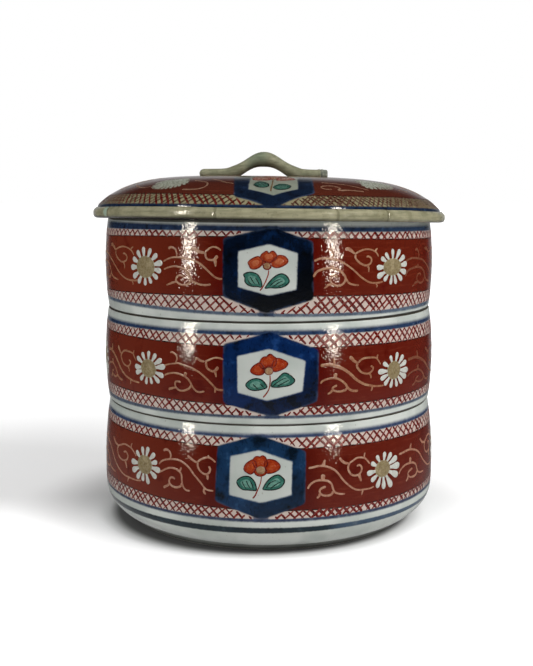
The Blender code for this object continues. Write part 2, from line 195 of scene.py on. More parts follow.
# Scroll strokes across a gap between two motifs. Each has its widths in mm at start, middle
# and end, then points: share of the gap, and height in mm over the middle of the red band
SCROLLS = {
    "top_tier_left": (
        ((0.5, 0.63, 0.59), (0.04, 1.8), (0.11, 2.8), (0.2, 3.7), (0.3, 3.9), (0.4, 3.7),
            (0.5, 3.2), (0.59, 2.5), (0.67, 1.3), (0.75, -0.6), (0.82, -2.5), (0.89, -4.2),
            (0.95, -4.9), (1.0, -5.0)),
        ((0.38, 0.55, 0.8), (0.28, 3.7), (0.28, 5.4), (0.26, 7.2), (0.2, 8.2), (0.15, 8.0),
            (0.14, 7.2)),
        ((0.5, 0.63, 0.59), (0.05, -1.7), (0.13, -0.8), (0.23, -0.1), (0.32, -0.3), (0.4, -1.0),
            (0.46, -2.6), (0.51, -4.5), (0.54, -6.2), (0.61, -7.1), (0.68, -7.7), (0.76, -7.8),
            (0.83, -7.4)),
        ((0.67, 0.63, 0.5), (0.51, -4.5), (0.51, -6.3), (0.46, -7.8), (0.38, -8.2), (0.32, -7.7),
            (0.27, -6.4), (0.28, -4.9), (0.32, -4.1), (0.38, -4.2), (0.41, -5.2)),
        ((0.67, 0.67, 0.42), (0.28, -6.8), (0.21, -7.3), (0.14, -8.1), (0.09, -8.6)),
        ((1.34, 1.01, 0.84), (0.49, 0.6), (0.48, -0.4), (0.46, -1.6)),
        ((1.01, 1.09, 0.63), (0.52, 7.6), (0.57, 7.9), (0.61, 7.2), (0.67, 6.4), (0.74, 6.2)),
        ((0.59, 0.5, 0.59), (0.74, 6.2), (0.77, 7.2), (0.81, 8.2), (0.86, 8.8), (0.92, 8.5),
            (0.98, 7.3)),
        ((0.67, 0.59, 1.09), (0.75, 6.3), (0.75, 4.8), (0.78, 3.5), (0.84, 3.1), (0.88, 3.3),
            (0.91, 4.2), (0.93, 5.2)),
        ((1.18, 0.8, 0.34), (0.89, 3.3), (0.9, 1.9), (0.9, 0.2)),
    ),
    "top_tier_right": (
        ((0.67, 0.55, 0.55), (0.0, 2.7), (0.06, 3.5), (0.13, 3.9), (0.22, 3.7), (0.31, 3.2),
            (0.38, 2.6), (0.46, 1.2), (0.54, -0.3), (0.62, -2.2), (0.7, -4.3), (0.79, -6.2),
            (0.88, -7.4), (0.99, -7.8), (1.12, -7.4)),
        ((0.38, 0.63, 0.8), (0.27, 3.4), (0.29, 5.0), (0.27, 6.8), (0.24, 7.9), (0.2, 7.3)),
        ((0.46, 0.42, 0.34), (0.98, -7.8), (1.01, -9.0), (1.0, -10.0)),
        ((0.67, 0.76, 0.5), (-0.01, -4.2), (0.02, -2.6), (0.06, -1.5), (0.12, -0.9), (0.19, -0.5),
            (0.26, -0.5), (0.34, -1.1), (0.4, -2.1), (0.45, -3.7), (0.48, -5.6), (0.52, -7.1),
            (0.58, -7.9), (0.69, -8.4)),
        ((0.67, 0.63, 0.5), (0.47, -4.9), (0.46, -6.4), (0.42, -7.7), (0.36, -8.2), (0.3, -7.8),
            (0.25, -6.6), (0.24, -5.1), (0.27, -3.9), (0.32, -3.7), (0.35, -4.8)),
        ((0.67, 0.71, 0.34), (0.27, -7.4), (0.21, -7.7), (0.18, -8.6), (0.14, -9.2)),
        ((1.34, 1.01, 0.84), (0.26, 1.0), (0.26, 0.1), (0.27, -0.8)),
        ((0.97, 1.09, 0.55), (0.46, 7.5), (0.51, 7.7), (0.56, 6.9), (0.62, 5.4)),
        ((0.59, 0.5, 0.46), (0.62, 5.4), (0.68, 6.3), (0.76, 7.1), (0.84, 7.3), (0.93, 6.7),
            (1.0, 5.4), (1.03, 3.7)),
        ((0.67, 0.59, 0.55), (0.63, 5.3), (0.63, 3.6), (0.67, 2.1), (0.74, 0.7), (0.8, 0.2),
            (0.87, 0.8), (0.9, 2.0), (0.89, 3.4), (0.84, 4.2), (0.81, 3.8)),
        ((0.84, 0.59, 0.42), (0.82, 0.2), (0.85, -1.0), (0.85, -2.9)),
        ((0.63, 0.55, 0.46), (0.98, 5.7), (0.98, 6.7), (1.02, 7.6)),
    ),
    "middle_tier_left": (
        ((0.42, 0.59, 0.63), (-0.01, 2.9), (0.07, 3.7), (0.17, 4.3), (0.26, 4.7), (0.33, 4.3),
            (0.4, 3.8), (0.49, 3.2), (0.57, 2.2), (0.64, 1.2), (0.72, -0.6), (0.8, -2.6),
            (0.86, -4.3), (0.9, -5.4), (0.95, -5.8), (1.01, -5.7)),
        ((0.46, 0.59, 0.55), (0.21, 4.7), (0.24, 6.5), (0.22, 8.2), (0.17, 9.1), (0.13, 9.3),
            (0.11, 8.8)),
        ((0.42, 0.42, 0.34), (0.37, 4.3), (0.37, 3.2)),
        ((0.55, 0.59, 0.59), (0.88, -5.1), (0.88, -6.1), (0.87, -7.3)),
        ((0.5, 0.63, 0.5), (0.0, -1.3), (0.07, -0.4), (0.15, 0.1), (0.22, 0.2), (0.31, -0.2),
            (0.38, -0.9), (0.44, -2.1), (0.48, -3.6), (0.51, -5.2), (0.57, -6.9), (0.63, -7.3),
            (0.71, -6.7)),
        ((0.67, 0.55, 0.59), (0.49, -4.0), (0.48, -5.0), (0.45, -6.0), (0.39, -6.9), (0.32, -7.4),
            (0.26, -7.1), (0.22, -6.2), (0.2, -4.9), (0.21, -3.7), (0.26, -3.4), (0.31, -3.7)),
        ((0.5, 0.67, 0.84), (0.23, -6.1), (0.15, -6.6), (0.07, -7.4)),
        ((1.26, 1.01, 0.76), (0.4, 1.1), (0.39, 0.2), (0.38, -0.9)),
        ((0.67, 0.76, 0.55), (0.55, 7.5), (0.6, 7.3), (0.65, 6.5), (0.72, 6.3)),
        ((0.59, 0.5, 0.55), (0.72, 6.3), (0.77, 6.9), (0.83, 7.7), (0.89, 8.2), (0.97, 8.0),
            (1.01, 7.4)),
        ((0.71, 0.59, 1.01), (0.74, 6.4), (0.74, 4.8), (0.76, 3.4), (0.82, 2.4), (0.87, 2.4),
            (0.91, 3.4), (0.93, 4.5)),
        ((0.92, 0.63, 0.38), (0.88, 2.5), (0.89, 1.2), (0.9, -0.3)),
    ),
    "middle_tier_right": (
        ((0.92, 0.84, 0.5), (0.02, 4.8), (0.09, 5.0), (0.17, 5.1), (0.24, 4.6), (0.32, 3.6),
            (0.4, 2.3), (0.49, 0.3), (0.57, -1.9), (0.66, -3.7), (0.75, -5.0), (0.84, -5.7),
            (0.95, -6.4), (1.11, -6.6)),
        ((1.01, 0.67, 0.63), (0.23, 4.8), (0.23, 6.3), (0.22, 8.1)),
        ((0.67, 0.59, 0.5), (0.88, -5.9), (0.88, -7.2), (0.86, -8.4)),
        ((0.59, 0.63, 0.76), (0.02, -3.1), (0.05, -2.0), (0.11, -1.3), (0.18, -1.0), (0.26, -1.1),
            (0.34, -2.2), (0.41, -3.9), (0.45, -5.7), (0.51, -7.0), (0.57, -7.4), (0.63, -7.4)),
        ((0.76, 0.55, 0.67), (0.44, -5.6), (0.42, -6.4), (0.38, -6.9), (0.31, -7.1), (0.25, -6.7),
            (0.21, -6.0), (0.21, -5.2), (0.25, -4.5), (0.28, -4.3)),
        ((0.84, 0.63, 0.42), (0.21, -6.0), (0.18, -7.1), (0.13, -7.9)),
        ((1.76, 1.09, 0.67), (0.24, 1.2), (0.25, 0.2), (0.25, -1.1)),
        ((1.26, 0.92, 0.63), (0.47, 7.5), (0.51, 7.2), (0.55, 5.9), (0.62, 4.8)),
        ((0.63, 0.59, 0.38), (0.62, 4.8), (0.67, 6.1), (0.74, 6.7), (0.83, 6.7), (0.94, 6.3),
            (0.99, 5.0), (1.04, 3.0)),
        ((0.84, 0.55, 0.63), (0.62, 5.0), (0.6, 3.6), (0.63, 2.0), (0.68, 0.6), (0.76, -0.2),
            (0.83, -0.1), (0.88, 1.0), (0.89, 2.2), (0.84, 3.0)),
        ((0.8, 0.55, 0.46), (0.82, -0.2), (0.85, -1.5), (0.85, -2.8)),
        ((0.67, 0.59, 0.5), (0.97, 5.9), (0.97, 6.8), (0.99, 7.7)),
    ),
    "bottom_tier_left": (
        ((0.5, 0.63, 0.5), (-0.03, 2.3), (0.02, 3.8), (0.09, 4.8), (0.19, 5.5), (0.31, 5.8),
            (0.4, 5.5), (0.49, 4.4), (0.57, 2.7), (0.64, 0.5), (0.71, -1.4), (0.78, -3.4),
            (0.83, -5.0), (0.88, -5.8), (0.98, -6.0)),
        ((0.5, 0.63, 0.8), (0.2, 5.4), (0.21, 7.2), (0.19, 8.6), (0.14, 9.4), (0.09, 9.3),
            (0.06, 8.6)),
        ((0.67, 0.76, 0.59), (0.83, -5.1), (0.82, -6.6), (0.85, -7.9)),
        ((0.5, 0.63, 0.5), (-0.06, -1.7), (0.04, -0.3), (0.12, 0.9), (0.2, 1.7), (0.29, 1.8),
            (0.37, 1.0), (0.42, -0.5), (0.43, -2.3), (0.44, -4.5), (0.47, -6.2), (0.52, -7.1),
            (0.58, -7.1)),
        ((0.71, 0.63, 0.59), (0.44, -3.9), (0.41, -5.5), (0.34, -6.4), (0.26, -6.3), (0.2, -5.3),
            (0.19, -3.8), (0.22, -2.5), (0.27, -2.4), (0.3, -3.1)),
        ((0.59, 0.71, 0.8), (0.21, -5.2), (0.15, -6.4), (0.07, -7.6)),
        ((0.67, 0.59, 0.42), (0.38, 0.8), (0.41, 2.1), (0.41, 2.9)),
        ((0.71, 0.67, 0.59), (0.52, 8.3), (0.58, 7.2), (0.65, 6.1), (0.7, 5.8)),
        ((0.59, 0.59, 0.5), (0.7, 5.8), (0.75, 7.0), (0.8, 7.7), (0.88, 8.4), (0.94, 7.9),
            (1.01, 6.4)),
        ((0.63, 0.55, 0.67), (0.71, 5.8), (0.71, 4.2), (0.74, 2.6), (0.79, 1.4), (0.86, 1.0),
            (0.91, 2.1), (0.92, 3.6), (0.89, 4.7)),
        ((0.92, 0.71, 0.59), (0.87, 1.2), (0.88, -0.1), (0.88, -1.5)),
        ((0.71, 0.55, 0.46), (0.88, 8.3), (0.89, 9.5)),
    ),
    "bottom_tier_right": (
        ((0.63, 0.59, 0.46), (0.03, 4.4), (0.1, 4.6), (0.18, 5.0), (0.27, 4.9), (0.37, 4.0),
            (0.46, 2.5), (0.53, 0.3), (0.59, -2.0), (0.68, -4.5), (0.77, -6.4), (0.86, -7.4),
            (0.97, -7.6), (1.08, -7.6), (1.16, -7.1)),
        ((1.43, 0.84, 0.42), (0.26, 4.8), (0.28, 6.2), (0.3, 7.7)),
        ((0.59, 0.5, 0.38), (0.95, -7.7), (0.93, -8.8), (0.92, -10.1)),
        ((0.59, 0.63, 0.5), (0.02, -4.6), (0.05, -3.1), (0.1, -1.9), (0.17, -1.2), (0.27, -1.3),
            (0.35, -2.0), (0.4, -3.4), (0.42, -5.2), (0.45, -6.9), (0.5, -7.7), (0.56, -8.1),
            (0.63, -8.2)),
        ((0.8, 0.55, 0.71), (0.43, -6.2), (0.4, -7.7), (0.33, -8.2), (0.25, -7.7), (0.21, -6.5),
            (0.21, -5.4), (0.24, -4.7), (0.31, -4.1)),
        ((0.92, 0.63, 0.63), (0.21, -6.7), (0.2, -8.0), (0.16, -8.9)),
        ((1.6, 1.18, 1.09), (0.27, 1.4), (0.26, 0.1), (0.26, -1.5)),
        ((0.71, 0.84, 0.59), (0.54, 7.9), (0.57, 6.5), (0.63, 5.3), (0.7, 4.9)),
        ((0.55, 0.55, 0.5), (0.7, 4.9), (0.76, 5.7), (0.83, 6.7), (0.9, 6.8), (0.98, 6.2),
            (1.03, 5.0), (1.08, 3.3)),
        ((0.67, 0.59, 0.59), (0.71, 5.0), (0.68, 3.4), (0.69, 1.6), (0.73, 0.0), (0.8, -0.8),
            (0.88, -0.4), (0.92, 1.0), (0.92, 2.5), (0.88, 3.6), (0.83, 3.1)),
        ((1.26, 0.8, 0.5), (0.87, -0.5), (0.89, -2.0), (0.91, -3.9)),
        ((0.5, 0.46, 0.42), (0.98, 6.0), (0.98, 7.6), (1.0, 8.6)),
    ),
}

# Daisies: place (degrees, height in mm), half size of the centre, and petal tips from that centre
DAISIES = {
    "top_tier_left": ((-42.8, 125.2), (6.4, 5.1), (
        (-1.7, 9.0), (3.4, 8.5), (7.6, 6.1), (10.7, 2.5), (10.0, -1.4), (7.9, -4.9), (3.8, -7.3),
        (-0.4, -8.4), (-5.3, -7.6), (-9.2, -5.1), (-10.8, -0.6), (-9.3, 3.6), (-6.1, 7.2),
    )),
    "top_tier_right": ((43.0, 125.2), (6.4, 4.0), (
        (0.2, 8.2), (5.5, 7.7), (9.0, 4.6), (10.8, 1.0), (10.2, -3.1), (7.1, -6.4), (2.7, -7.9),
        (-1.2, -7.9), (-5.6, -6.1), (-9.8, -4.2), (-10.1, 0.2), (-7.5, 4.5), (-4.7, 6.6),
    )),
    "middle_tier_left": ((-41.6, 79.7), (5.2, 4.3), (
        (0.3, 8.0), (4.9, 7.1), (8.4, 4.9), (10.4, 1.9), (9.5, -2.7), (6.9, -5.8), (2.2, -6.9),
        (-1.9, -7.4), (-5.8, -5.9), (-9.1, -3.0), (-9.7, -0.1), (-8.1, 4.4), (-4.4, 6.9),
    )),
    "middle_tier_right": ((43.9, 78.5), (4.7, 4.3), (
        (2.6, 8.0), (7.1, 6.1), (9.5, 3.0), (10.9, -1.1), (9.5, -4.3), (6.4, -6.8), (2.5, -7.8),
        (-2.1, -7.9), (-6.3, -6.1), (-8.8, -3.2), (-10.4, 0.3), (-7.3, 4.1), (-2.6, 6.9),
    )),
    "bottom_tier_left": ((-43.5, 35.7), (5.2, 4.4), (
        (-2.2, 7.8), (2.0, 8.3), (6.5, 6.0), (8.1, 2.5), (10.1, -1.2), (7.8, -4.8), (2.7, -8.5),
        (-1.4, -7.8), (-5.6, -7.3), (-9.3, -4.4), (-10.2, -0.2), (-6.6, 5.2),
    )),
    "bottom_tier_right": ((38.7, 35.0), (4.8, 3.9), (
        (1.6, 7.4), (6.0, 6.3), (9.8, 3.8), (11.4, -0.2), (10.1, -4.7), (5.7, -9.2), (0.6, -9.3),
        (-3.7, -8.1), (-7.1, -4.6), (-9.4, -0.9), (-7.0, 3.6), (-3.6, 6.5),
    )),
}

# Flower in each medallion, in mm right of and above the middle of the frame
FLOWERS = {
    "top_tier": {
        "petals": (
            ((-9.0, 2.4), (-7.6, 3.6), (-6.1, 4.4), (-4.4, 4.8), (-3.1, 3.8), (-2.7, 2.5),
                (-3.2, 1.2), (-4.4, 0.1), (-6.1, -0.5), (-7.7, -0.2), (-8.4, 1.1)),
            ((-3.6, 4.7), (-3.1, 5.7), (-1.8, 6.7), (-0.8, 7.1), (0.1, 6.2), (1.1, 7.0),
                (2.1, 7.0), (3.1, 5.9), (3.5, 4.7), (2.4, 3.3), (0.8, 2.5), (-1.4, 2.7),
                (-2.9, 3.4)),
            ((0.9, 2.6), (2.3, 4.0), (3.7, 5.1), (5.2, 5.3), (6.9, 4.8), (8.1, 3.4), (7.9, 2.2),
                (6.3, 1.0), (4.1, 0.2), (2.2, 0.4), (1.0, 1.4)),
        ),
        "leaves": (
            ((-3.2, -8.4), (-3.0, -6.9), (-3.6, -4.8), (-4.6, -3.1), (-6.3, -2.2), (-8.3, -1.9),
                (-10.7, -2.8), (-10.2, -4.3), (-10.2, -5.9), (-8.9, -7.3), (-7.0, -7.9),
                (-4.8, -8.0)),
            ((-1.8, -8.8), (-0.3, -6.7), (1.4, -4.8), (3.3, -3.3), (5.4, -2.6), (7.2, -3.2),
                (8.4, -4.6), (8.7, -5.9), (7.8, -7.2), (5.9, -8.2), (3.1, -8.6), (0.5, -8.5)),
        ),
        "veins": (
            ((-8.1, -3.6), (-7.2, -5.2), (-5.9, -7.2)),
            ((-9.2, -4.8), (-8.3, -6.3), (-7.2, -7.5)),
            ((-5.9, -3.9), (-4.9, -5.6), (-3.8, -7.6)),
            ((0.4, -7.9), (2.7, -5.8), (5.4, -4.6)),
            ((1.8, -8.0), (4.4, -6.3), (6.5, -5.4)),
            ((3.7, -8.1), (6.5, -6.9)),
        ),
        "ring": ((-0.7, 0.9), (1.9, 1.8)),
        "core": ((-0.8, 0.9), (1.1, 1.1)),
        "stem": (
            (0.55, 0.55, 0.71),
            ((0.0, -0.9), (-0.3, -3.0), (-1.2, -5.4), (-2.1, -7.3), (-3.1, -8.9), (-3.9, -9.8)),
        ),
    },
    "middle_tier": {
        "petals": (
            ((-8.0, 3.0), (-6.9, 4.8), (-5.3, 5.9), (-3.8, 6.5), (-2.5, 5.2), (-1.9, 3.0),
                (-2.7, 1.7), (-4.8, 1.3), (-6.9, 1.9)),
            ((-4.2, 5.9), (-3.3, 8.0), (-2.1, 9.0), (-0.9, 9.1), (-0.2, 9.9), (0.9, 10.2),
                (2.1, 9.2), (3.1, 8.4), (3.1, 5.9), (1.5, 4.3), (-1.2, 4.3), (-3.1, 4.2)),
            ((2.5, 8.4), (4.4, 8.4), (6.3, 7.7), (7.8, 6.7), (8.1, 5.8), (6.9, 4.4), (4.8, 3.4),
                (2.7, 2.8), (1.6, 3.6), (1.4, 5.2)),
        ),
        "leaves": (
            ((-10.1, -3.0), (-8.7, -1.5), (-7.0, -0.6), (-5.1, -0.3), (-3.1, -0.9), (-1.6, -2.3),
                (-0.9, -4.0), (-2.9, -4.9), (-5.5, -5.4), (-7.7, -5.2), (-9.3, -4.2)),
            ((0.9, -3.7), (1.5, -1.7), (3.5, -0.6), (5.0, 1.0), (6.7, 2.1), (8.7, 1.5),
                (10.2, 0.2), (11.1, -1.0), (10.6, -2.2), (8.7, -3.3), (6.1, -3.7), (3.1, -4.0)),
        ),
        "veins": (
            ((-7.1, -2.5), (-5.8, -3.8), (-4.4, -5.1)),
            ((-4.0, -2.2), (-2.9, -3.4), (-1.9, -4.3)),
            ((1.4, -3.7), (4.4, -1.4), (7.8, 0.2)),
            ((3.5, -3.6), (6.1, -2.3), (9.1, -0.7)),
        ),
        "ring": ((0.0, 3.2), (2.0, 1.9)),
        "core": ((0.0, 3.0), (1.4, 1.3)),
        "stem": (
            (0.55, 0.55, 0.76),
            ((0.5, 1.3), (0.6, -0.8), (0.4, -3.2), (-0.1, -5.2), (-1.2, -7.0), (-2.5, -8.5)),
        ),
    },
    "bottom_tier": {
        "petals": (
            ((-10.8, 5.0), (-9.9, 6.5), (-8.2, 7.8), (-6.7, 8.3), (-5.5, 7.0), (-5.4, 4.9),
                (-6.3, 3.4), (-7.9, 2.3), (-9.6, 3.0), (-10.6, 3.9)),
            ((-7.1, 8.0), (-6.0, 9.5), (-4.7, 9.8), (-3.8, 9.6), (-2.7, 10.1), (-1.6, 9.6),
                (-1.0, 8.4), (-0.6, 6.5), (-1.9, 5.0), (-4.7, 4.9), (-6.3, 5.7)),
            ((-1.4, 8.4), (0.5, 8.6), (2.7, 8.1), (4.2, 6.9), (4.9, 5.5), (4.0, 4.1), (1.8, 3.0),
                (-0.6, 2.7), (-1.6, 3.7), (-1.8, 6.2)),
            ((-6.4, 3.4), (-5.5, 4.7), (-3.5, 5.2), (-1.6, 4.7), (-0.9, 3.4), (-1.8, 2.1),
                (-3.6, 1.5), (-5.4, 2.0)),
        ),
        "leaves": (
            ((-13.9, -1.0), (-12.9, 0.1), (-11.2, 1.0), (-9.0, 1.2), (-7.2, 0.2), (-5.9, -1.7),
                (-5.4, -4.5), (-6.8, -4.7), (-9.0, -4.6), (-11.1, -4.5), (-12.7, -3.5),
                (-13.6, -2.2)),
            ((-2.7, -4.3), (-1.2, -1.5), (0.5, 0.4), (2.2, 1.5), (4.2, 1.9), (5.7, 0.9),
                (6.7, -0.3), (6.5, -1.6), (5.2, -3.3), (3.1, -4.2), (0.5, -4.5)),
        ),
        "veins": (
            ((-11.6, -0.8), (-10.9, -2.5), (-9.7, -4.2)),
            ((-9.8, -0.4), (-9.0, -2.3), (-7.7, -4.2)),
            ((-8.1, -0.5), (-7.2, -2.3), (-6.4, -4.1)),
            ((-1.2, -3.8), (0.5, -1.5), (3.3, -0.2)),
            ((0.5, -4.0), (3.1, -2.1), (5.4, -0.9)),
        ),
        "ring": ((-3.5, 4.0), (2.0, 1.8)),
        "core": ((-3.5, 4.0), (1.7, 1.5)),
        "stem": (
            (0.5, 0.5, 0.84),
            ((-3.1, 1.5), (-3.5, -1.1), (-4.2, -3.2), (-5.1, -5.2), (-5.9, -7.0), (-7.0, -8.3)),
        ),
    },
}

# The lid's medallion, in mm right of its middle line and mm out from the axis
LID_FLOWER = {
    "petals": (
        ((-6.6, 60.2), (-7.1, 54.2), (-5.0, 49.3), (-2.1, 49.0), (0.4, 52.2), (1.2, 57.2),
            (-0.8, 60.8), (-4.0, 60.8)),
        ((-2.6, 49.9), (-1.6, 43.9), (0.6, 38.6), (2.4, 43.1), (4.3, 39.6), (6.5, 44.3),
            (7.4, 49.8), (4.8, 54.7), (2.4, 55.9), (-0.4, 54.0)),
        ((3.6, 60.2), (4.4, 52.4), (7.0, 49.8), (9.8, 50.8), (11.6, 54.2), (10.8, 58.1),
            (7.8, 59.8), (5.6, 60.6)),
    ),
    "leaves": (
        ((-6.6, 68.9), (-5.6, 65.9), (-4.1, 64.3), (-2.1, 65.0), (-0.4, 67.6), (-0.1, 70.3),
            (-1.2, 72.0), (-3.4, 72.4), (-5.4, 71.3)),
        ((1.9, 72.3), (2.9, 70.0), (4.9, 67.9), (7.3, 67.6), (9.1, 69.0), (9.5, 70.5),
            (8.3, 73.0), (5.9, 74.2), (3.3, 74.1)),
    ),
    "veins": (
        ((-5.2, 66.6), (-4.2, 68.6), (-3.0, 71.4)),
        ((-3.8, 65.6), (-2.8, 68.4), (-1.6, 71.2)),
        ((-2.2, 66.0), (-1.6, 68.2), (-0.8, 70.4)),
        ((3.4, 71.2), (5.4, 70.0), (8.2, 69.2)),
        ((4.4, 72.6), (6.4, 71.4), (8.6, 70.6)),
    ),
    "ring": ((2.4, 56.2), (2.0, 2.2)),
    "core": ((2.4, 56.2), (1.2, 1.4)),
    "stem": (
        (0.55, 0.6, 0.75),
        ((1.9, 58.2), (1.8, 62.5), (1.5, 68.0), (1.1, 72.5), (0.8, 76.1)),
    ),
}


def colour(red, green, blue):
    """Return an sRGB colour, written with 0 to 255, as linear RGBA."""
    linear = []
    for part in (red, green, blue):
        part /= 255
        linear.append(part / 12.92 if part <= 0.04045 else ((part + 0.055) / 1.055) ** 2.4)
    return (*linear, 1)


def middle_of(points):
    """Return the mean of flat points."""
    return [sum(point[axis] for point in points) / len(points) for axis in (0, 1)]


def sides(corners):
    """Return a convex polygon's sides, each as a, b, c: the distance outside is a x + b y + c."""
    middle = middle_of(corners)
    found = []
    for corner, after in zip(corners, (*corners[1:], corners[0])):
        run = (after[0] - corner[0], after[1] - corner[1])
        length = math.hypot(*run)
        a, b = run[1] / length, -run[0] / length
        c = -(a * corner[0] + b * corner[1])
        found.append((a, b, c) if a * middle[0] + b * middle[1] <= -c else (-a, -b, -c))
    return found


class Nodes:
    """A node tree, with short calls for its nodes, and x, y and z of the place that is shaded."""

    def __init__(self, owner, coordinates, scale):
        owner.use_nodes = True
        self.tree = owner.node_tree
        place = self.add("ShaderNodeTexCoord").outputs[coordinates]
        self.place = self.vector("SCALE", place, scale=scale)
        parts = self.add("ShaderNodeSeparateXYZ", Vector=self.place).outputs
        self.x, self.y, self.z = parts[0], parts[1], parts[2]

    def set(self, socket, value):
        """Link a socket to another, or give it a plain value."""
        if isinstance(value, bpy.types.NodeSocket):
            self.tree.links.new(value, socket)
        else:
            socket.default_value = value

    def add(self, kind, settings=None, **inputs):
        """Add a node with settings, and its inputs by name."""
        node = self.tree.nodes.new(kind)
        for key, value in (settings or {}).items():
            setattr(node, key, value)
        for key, value in inputs.items():
            self.set(node.inputs[key], value)
        return node

    def math(self, operation, *values):
        """Return a sum or other function of plain values and sockets."""
        node = self.add("ShaderNodeMath", {"operation": operation})
        for socket, value in zip(node.inputs, values):
            self.set(socket, value)
        return node.outputs[0]

    def times(self, first, second):
        return self.math("MULTIPLY", first, second)

    def plus(self, first, second):
        return self.math("ADD", first, second)

    def minus(self, first, second):
        return self.math("SUBTRACT", first, second)

    def vector(self, operation, *values, scale=None):
        """Return a vector function, or the number that a dot product or a length gives."""
        node = self.add("ShaderNodeVectorMath", {"operation": operation})
        for socket, value in zip(node.inputs, values):
            self.set(socket, value)
        if scale is not None:
            self.set(node.inputs["Scale"], scale)
        return node.outputs["Value" if operation in ("DOT_PRODUCT", "LENGTH") else "Vector"]

    def noise(self, scale, detail=2.0, roughness=0.5, stretch=(1, 1, 1), place=None):
        """Return noise about 0.5 whose features are about 1 / scale mm wide."""
        place = self.vector("MULTIPLY", place or self.place, stretch)
        node = self.add("ShaderNodeTexNoise", Vector=place, Scale=scale, Detail=detail)
        self.set(node.inputs["Roughness"], roughness)
        return node.outputs["Fac"]

    def step(self, value, low, high, start=0.0, end=1.0):
        """Return start below low, end above high, and a smooth step between them."""
        node = self.add("ShaderNodeMapRange", {"interpolation_type": "SMOOTHSTEP"}, Value=value)
        ends = {"From Min": low, "From Max": high, "To Min": start, "To Max": end}
        for key, number in ends.items():
            self.set(node.inputs[key], number)
        return node.outputs["Result"]

    def band(self, value, low, high, soft):
        """Return 1 where a value lies between low and high, with soft edges, and 0 elsewhere."""
        rise = self.step(value, low - soft / 2, low + soft / 2)
        fall = self.step(value, high - soft / 2, high + soft / 2, 1.0, 0.0)
        return self.times(rise, fall)

    def mix(self, share, first, second):
        """Blend two colours: sockets, linear RGBA, or sRGB triplets written with 0 to 255."""
        node = self.add("ShaderNodeMix", {"data_type": "RGBA"})
        for index, value in ((0, share), (6, first), (7, second)):
            triplet = isinstance(value, tuple) and len(value) == 3
            self.set(node.inputs[index], colour(*value) if triplet else value)
        return node.outputs[2]

    def wave(self, value, amount):
        """Return noise turned into a shift of up to about amount each way."""
        return self.times(self.minus(value, 0.5), amount * 2)

    def outside(self, corners, across, up, round_by):
        """Return the distance outside a convex polygon with rounded corners, below zero inside."""
        point = self.add("ShaderNodeCombineXYZ", X=across, Y=up, Z=1.0).outputs[0]
        found = [self.vector("DOT_PRODUCT", point, side) for side in sides(corners)]
        farthest = found[0]
        for distance in found[1:]:
            farthest = self.math("SMOOTH_MAX", farthest, distance, round_by)
        return farthest

    def turn(self):
        """Return the turn round the axis from the front, in radians."""
        return self.math("ARCTAN2", self.x, self.times(self.y, -1.0))


class Paint(Nodes):
    """One glaze or enamel, in mm of the object."""

    def __init__(self, name):
        self.material = bpy.data.materials.new(name)
        super().__init__(self.material, "Object", 1000)
        self.shader = self.tree.nodes["Principled BSDF"]

    def finish(self, base, roughness, height, depth, level):
        """Wire colour, roughness, a bump as deep as depth in mm, and specular level."""
        self.set(self.shader.inputs["Base Color"], base)
        self.set(self.shader.inputs["Roughness"], roughness)
        bump = self.add("ShaderNodeBump", Height=height, Distance=depth / 1000, Strength=1.0)
        self.set(self.shader.inputs["Normal"], bump.outputs["Normal"])
        self.set(self.shader.inputs["Specular IOR Level"], level)
        return self.material


# Specular level of glazes and enamels
GLOSS = 0.32


def porcelain(paint, light=(196, 200, 194), shade=(172, 178, 172)):
    """Return the uneven white of the glazed ground, with a few iron specks."""
    cloud = paint.step(paint.noise(0.045, 3.0), 0.35, 0.65)
    ground = paint.mix(cloud, shade, light)
    speck = paint.step(paint.noise(0.9, 0.0), 0.80, 0.84)
    return paint.mix(paint.times(speck, 0.35), ground, (110, 96, 80))


def glaze_bump(paint):
    """Return the height of a wavy glaze pitted at about a millimetre."""
    wavy = paint.noise(0.3, 2.0, 0.5)
    return paint.math("MULTIPLY_ADD", paint.noise(1.2, 1.0, 0.5), 0.75, wavy)


def glaze_roughness(paint, low=0.03, high=0.08):
    """Return the roughness of a glaze, smoother and duller in patches."""
    return paint.step(paint.noise(0.5, 3.0, 0.65), 0.3, 0.7, low, high)


def white_glaze(name):
    """Plain white glaze of the insides and undersides."""
    paint = Paint(name)
    base = porcelain(paint, (206, 209, 202), (190, 195, 189))
    return paint.finish(base, glaze_roughness(paint), glaze_bump(paint), 0.02, GLOSS)


def biscuit(name):
    """Unglazed body at mouths, seats and the foot, with kiln dust and rubbed grey patches."""
    paint = Paint(name)
    base = paint.mix(paint.noise(0.2, 3.0), (196, 190, 176), (176, 166, 148))
    stain = paint.step(paint.noise(0.07, 3.0, 0.6), 0.56, 0.72)
    base = paint.mix(paint.times(stain, 0.6), base, (140, 118, 92))
    # Painted shadow in the seams: a dark ring near the outer edge of mouths and seats
    radius = paint.vector("LENGTH", paint.vector("MULTIPLY", paint.place, (1, 1, 0)))
    seam_shadow_ring = paint.times(paint.step(radius, 77.8, 79.0), paint.step(radius, 80.4, 80.6, 0.9, 0.0))
    base = paint.mix(seam_shadow_ring, base, (34, 29, 22))
    return paint.finish(base, 0.72, paint.noise(5.0, 3.0, 0.7), 0.03, 0.3)


def blue_wash(paint, dark, mid, pale, grain):
    """Return cobalt blue whose strength varies with the brush, from near black to pale."""
    flow = paint.noise(grain, 3.0, 0.6)
    base = paint.mix(paint.step(flow, 0.30, 0.52), dark, mid)
    return paint.mix(paint.step(flow, 0.55, 0.75), base, pale)


def edge_height(series, turn):
    """Return the height of a painted edge at a turn round the tier."""
    height, cosine, sine, cosine_twice, sine_twice = series
    height += cosine * math.cos(turn) + sine * math.sin(turn)
    return height + cosine_twice * math.cos(2 * turn) + sine_twice * math.sin(2 * turn)


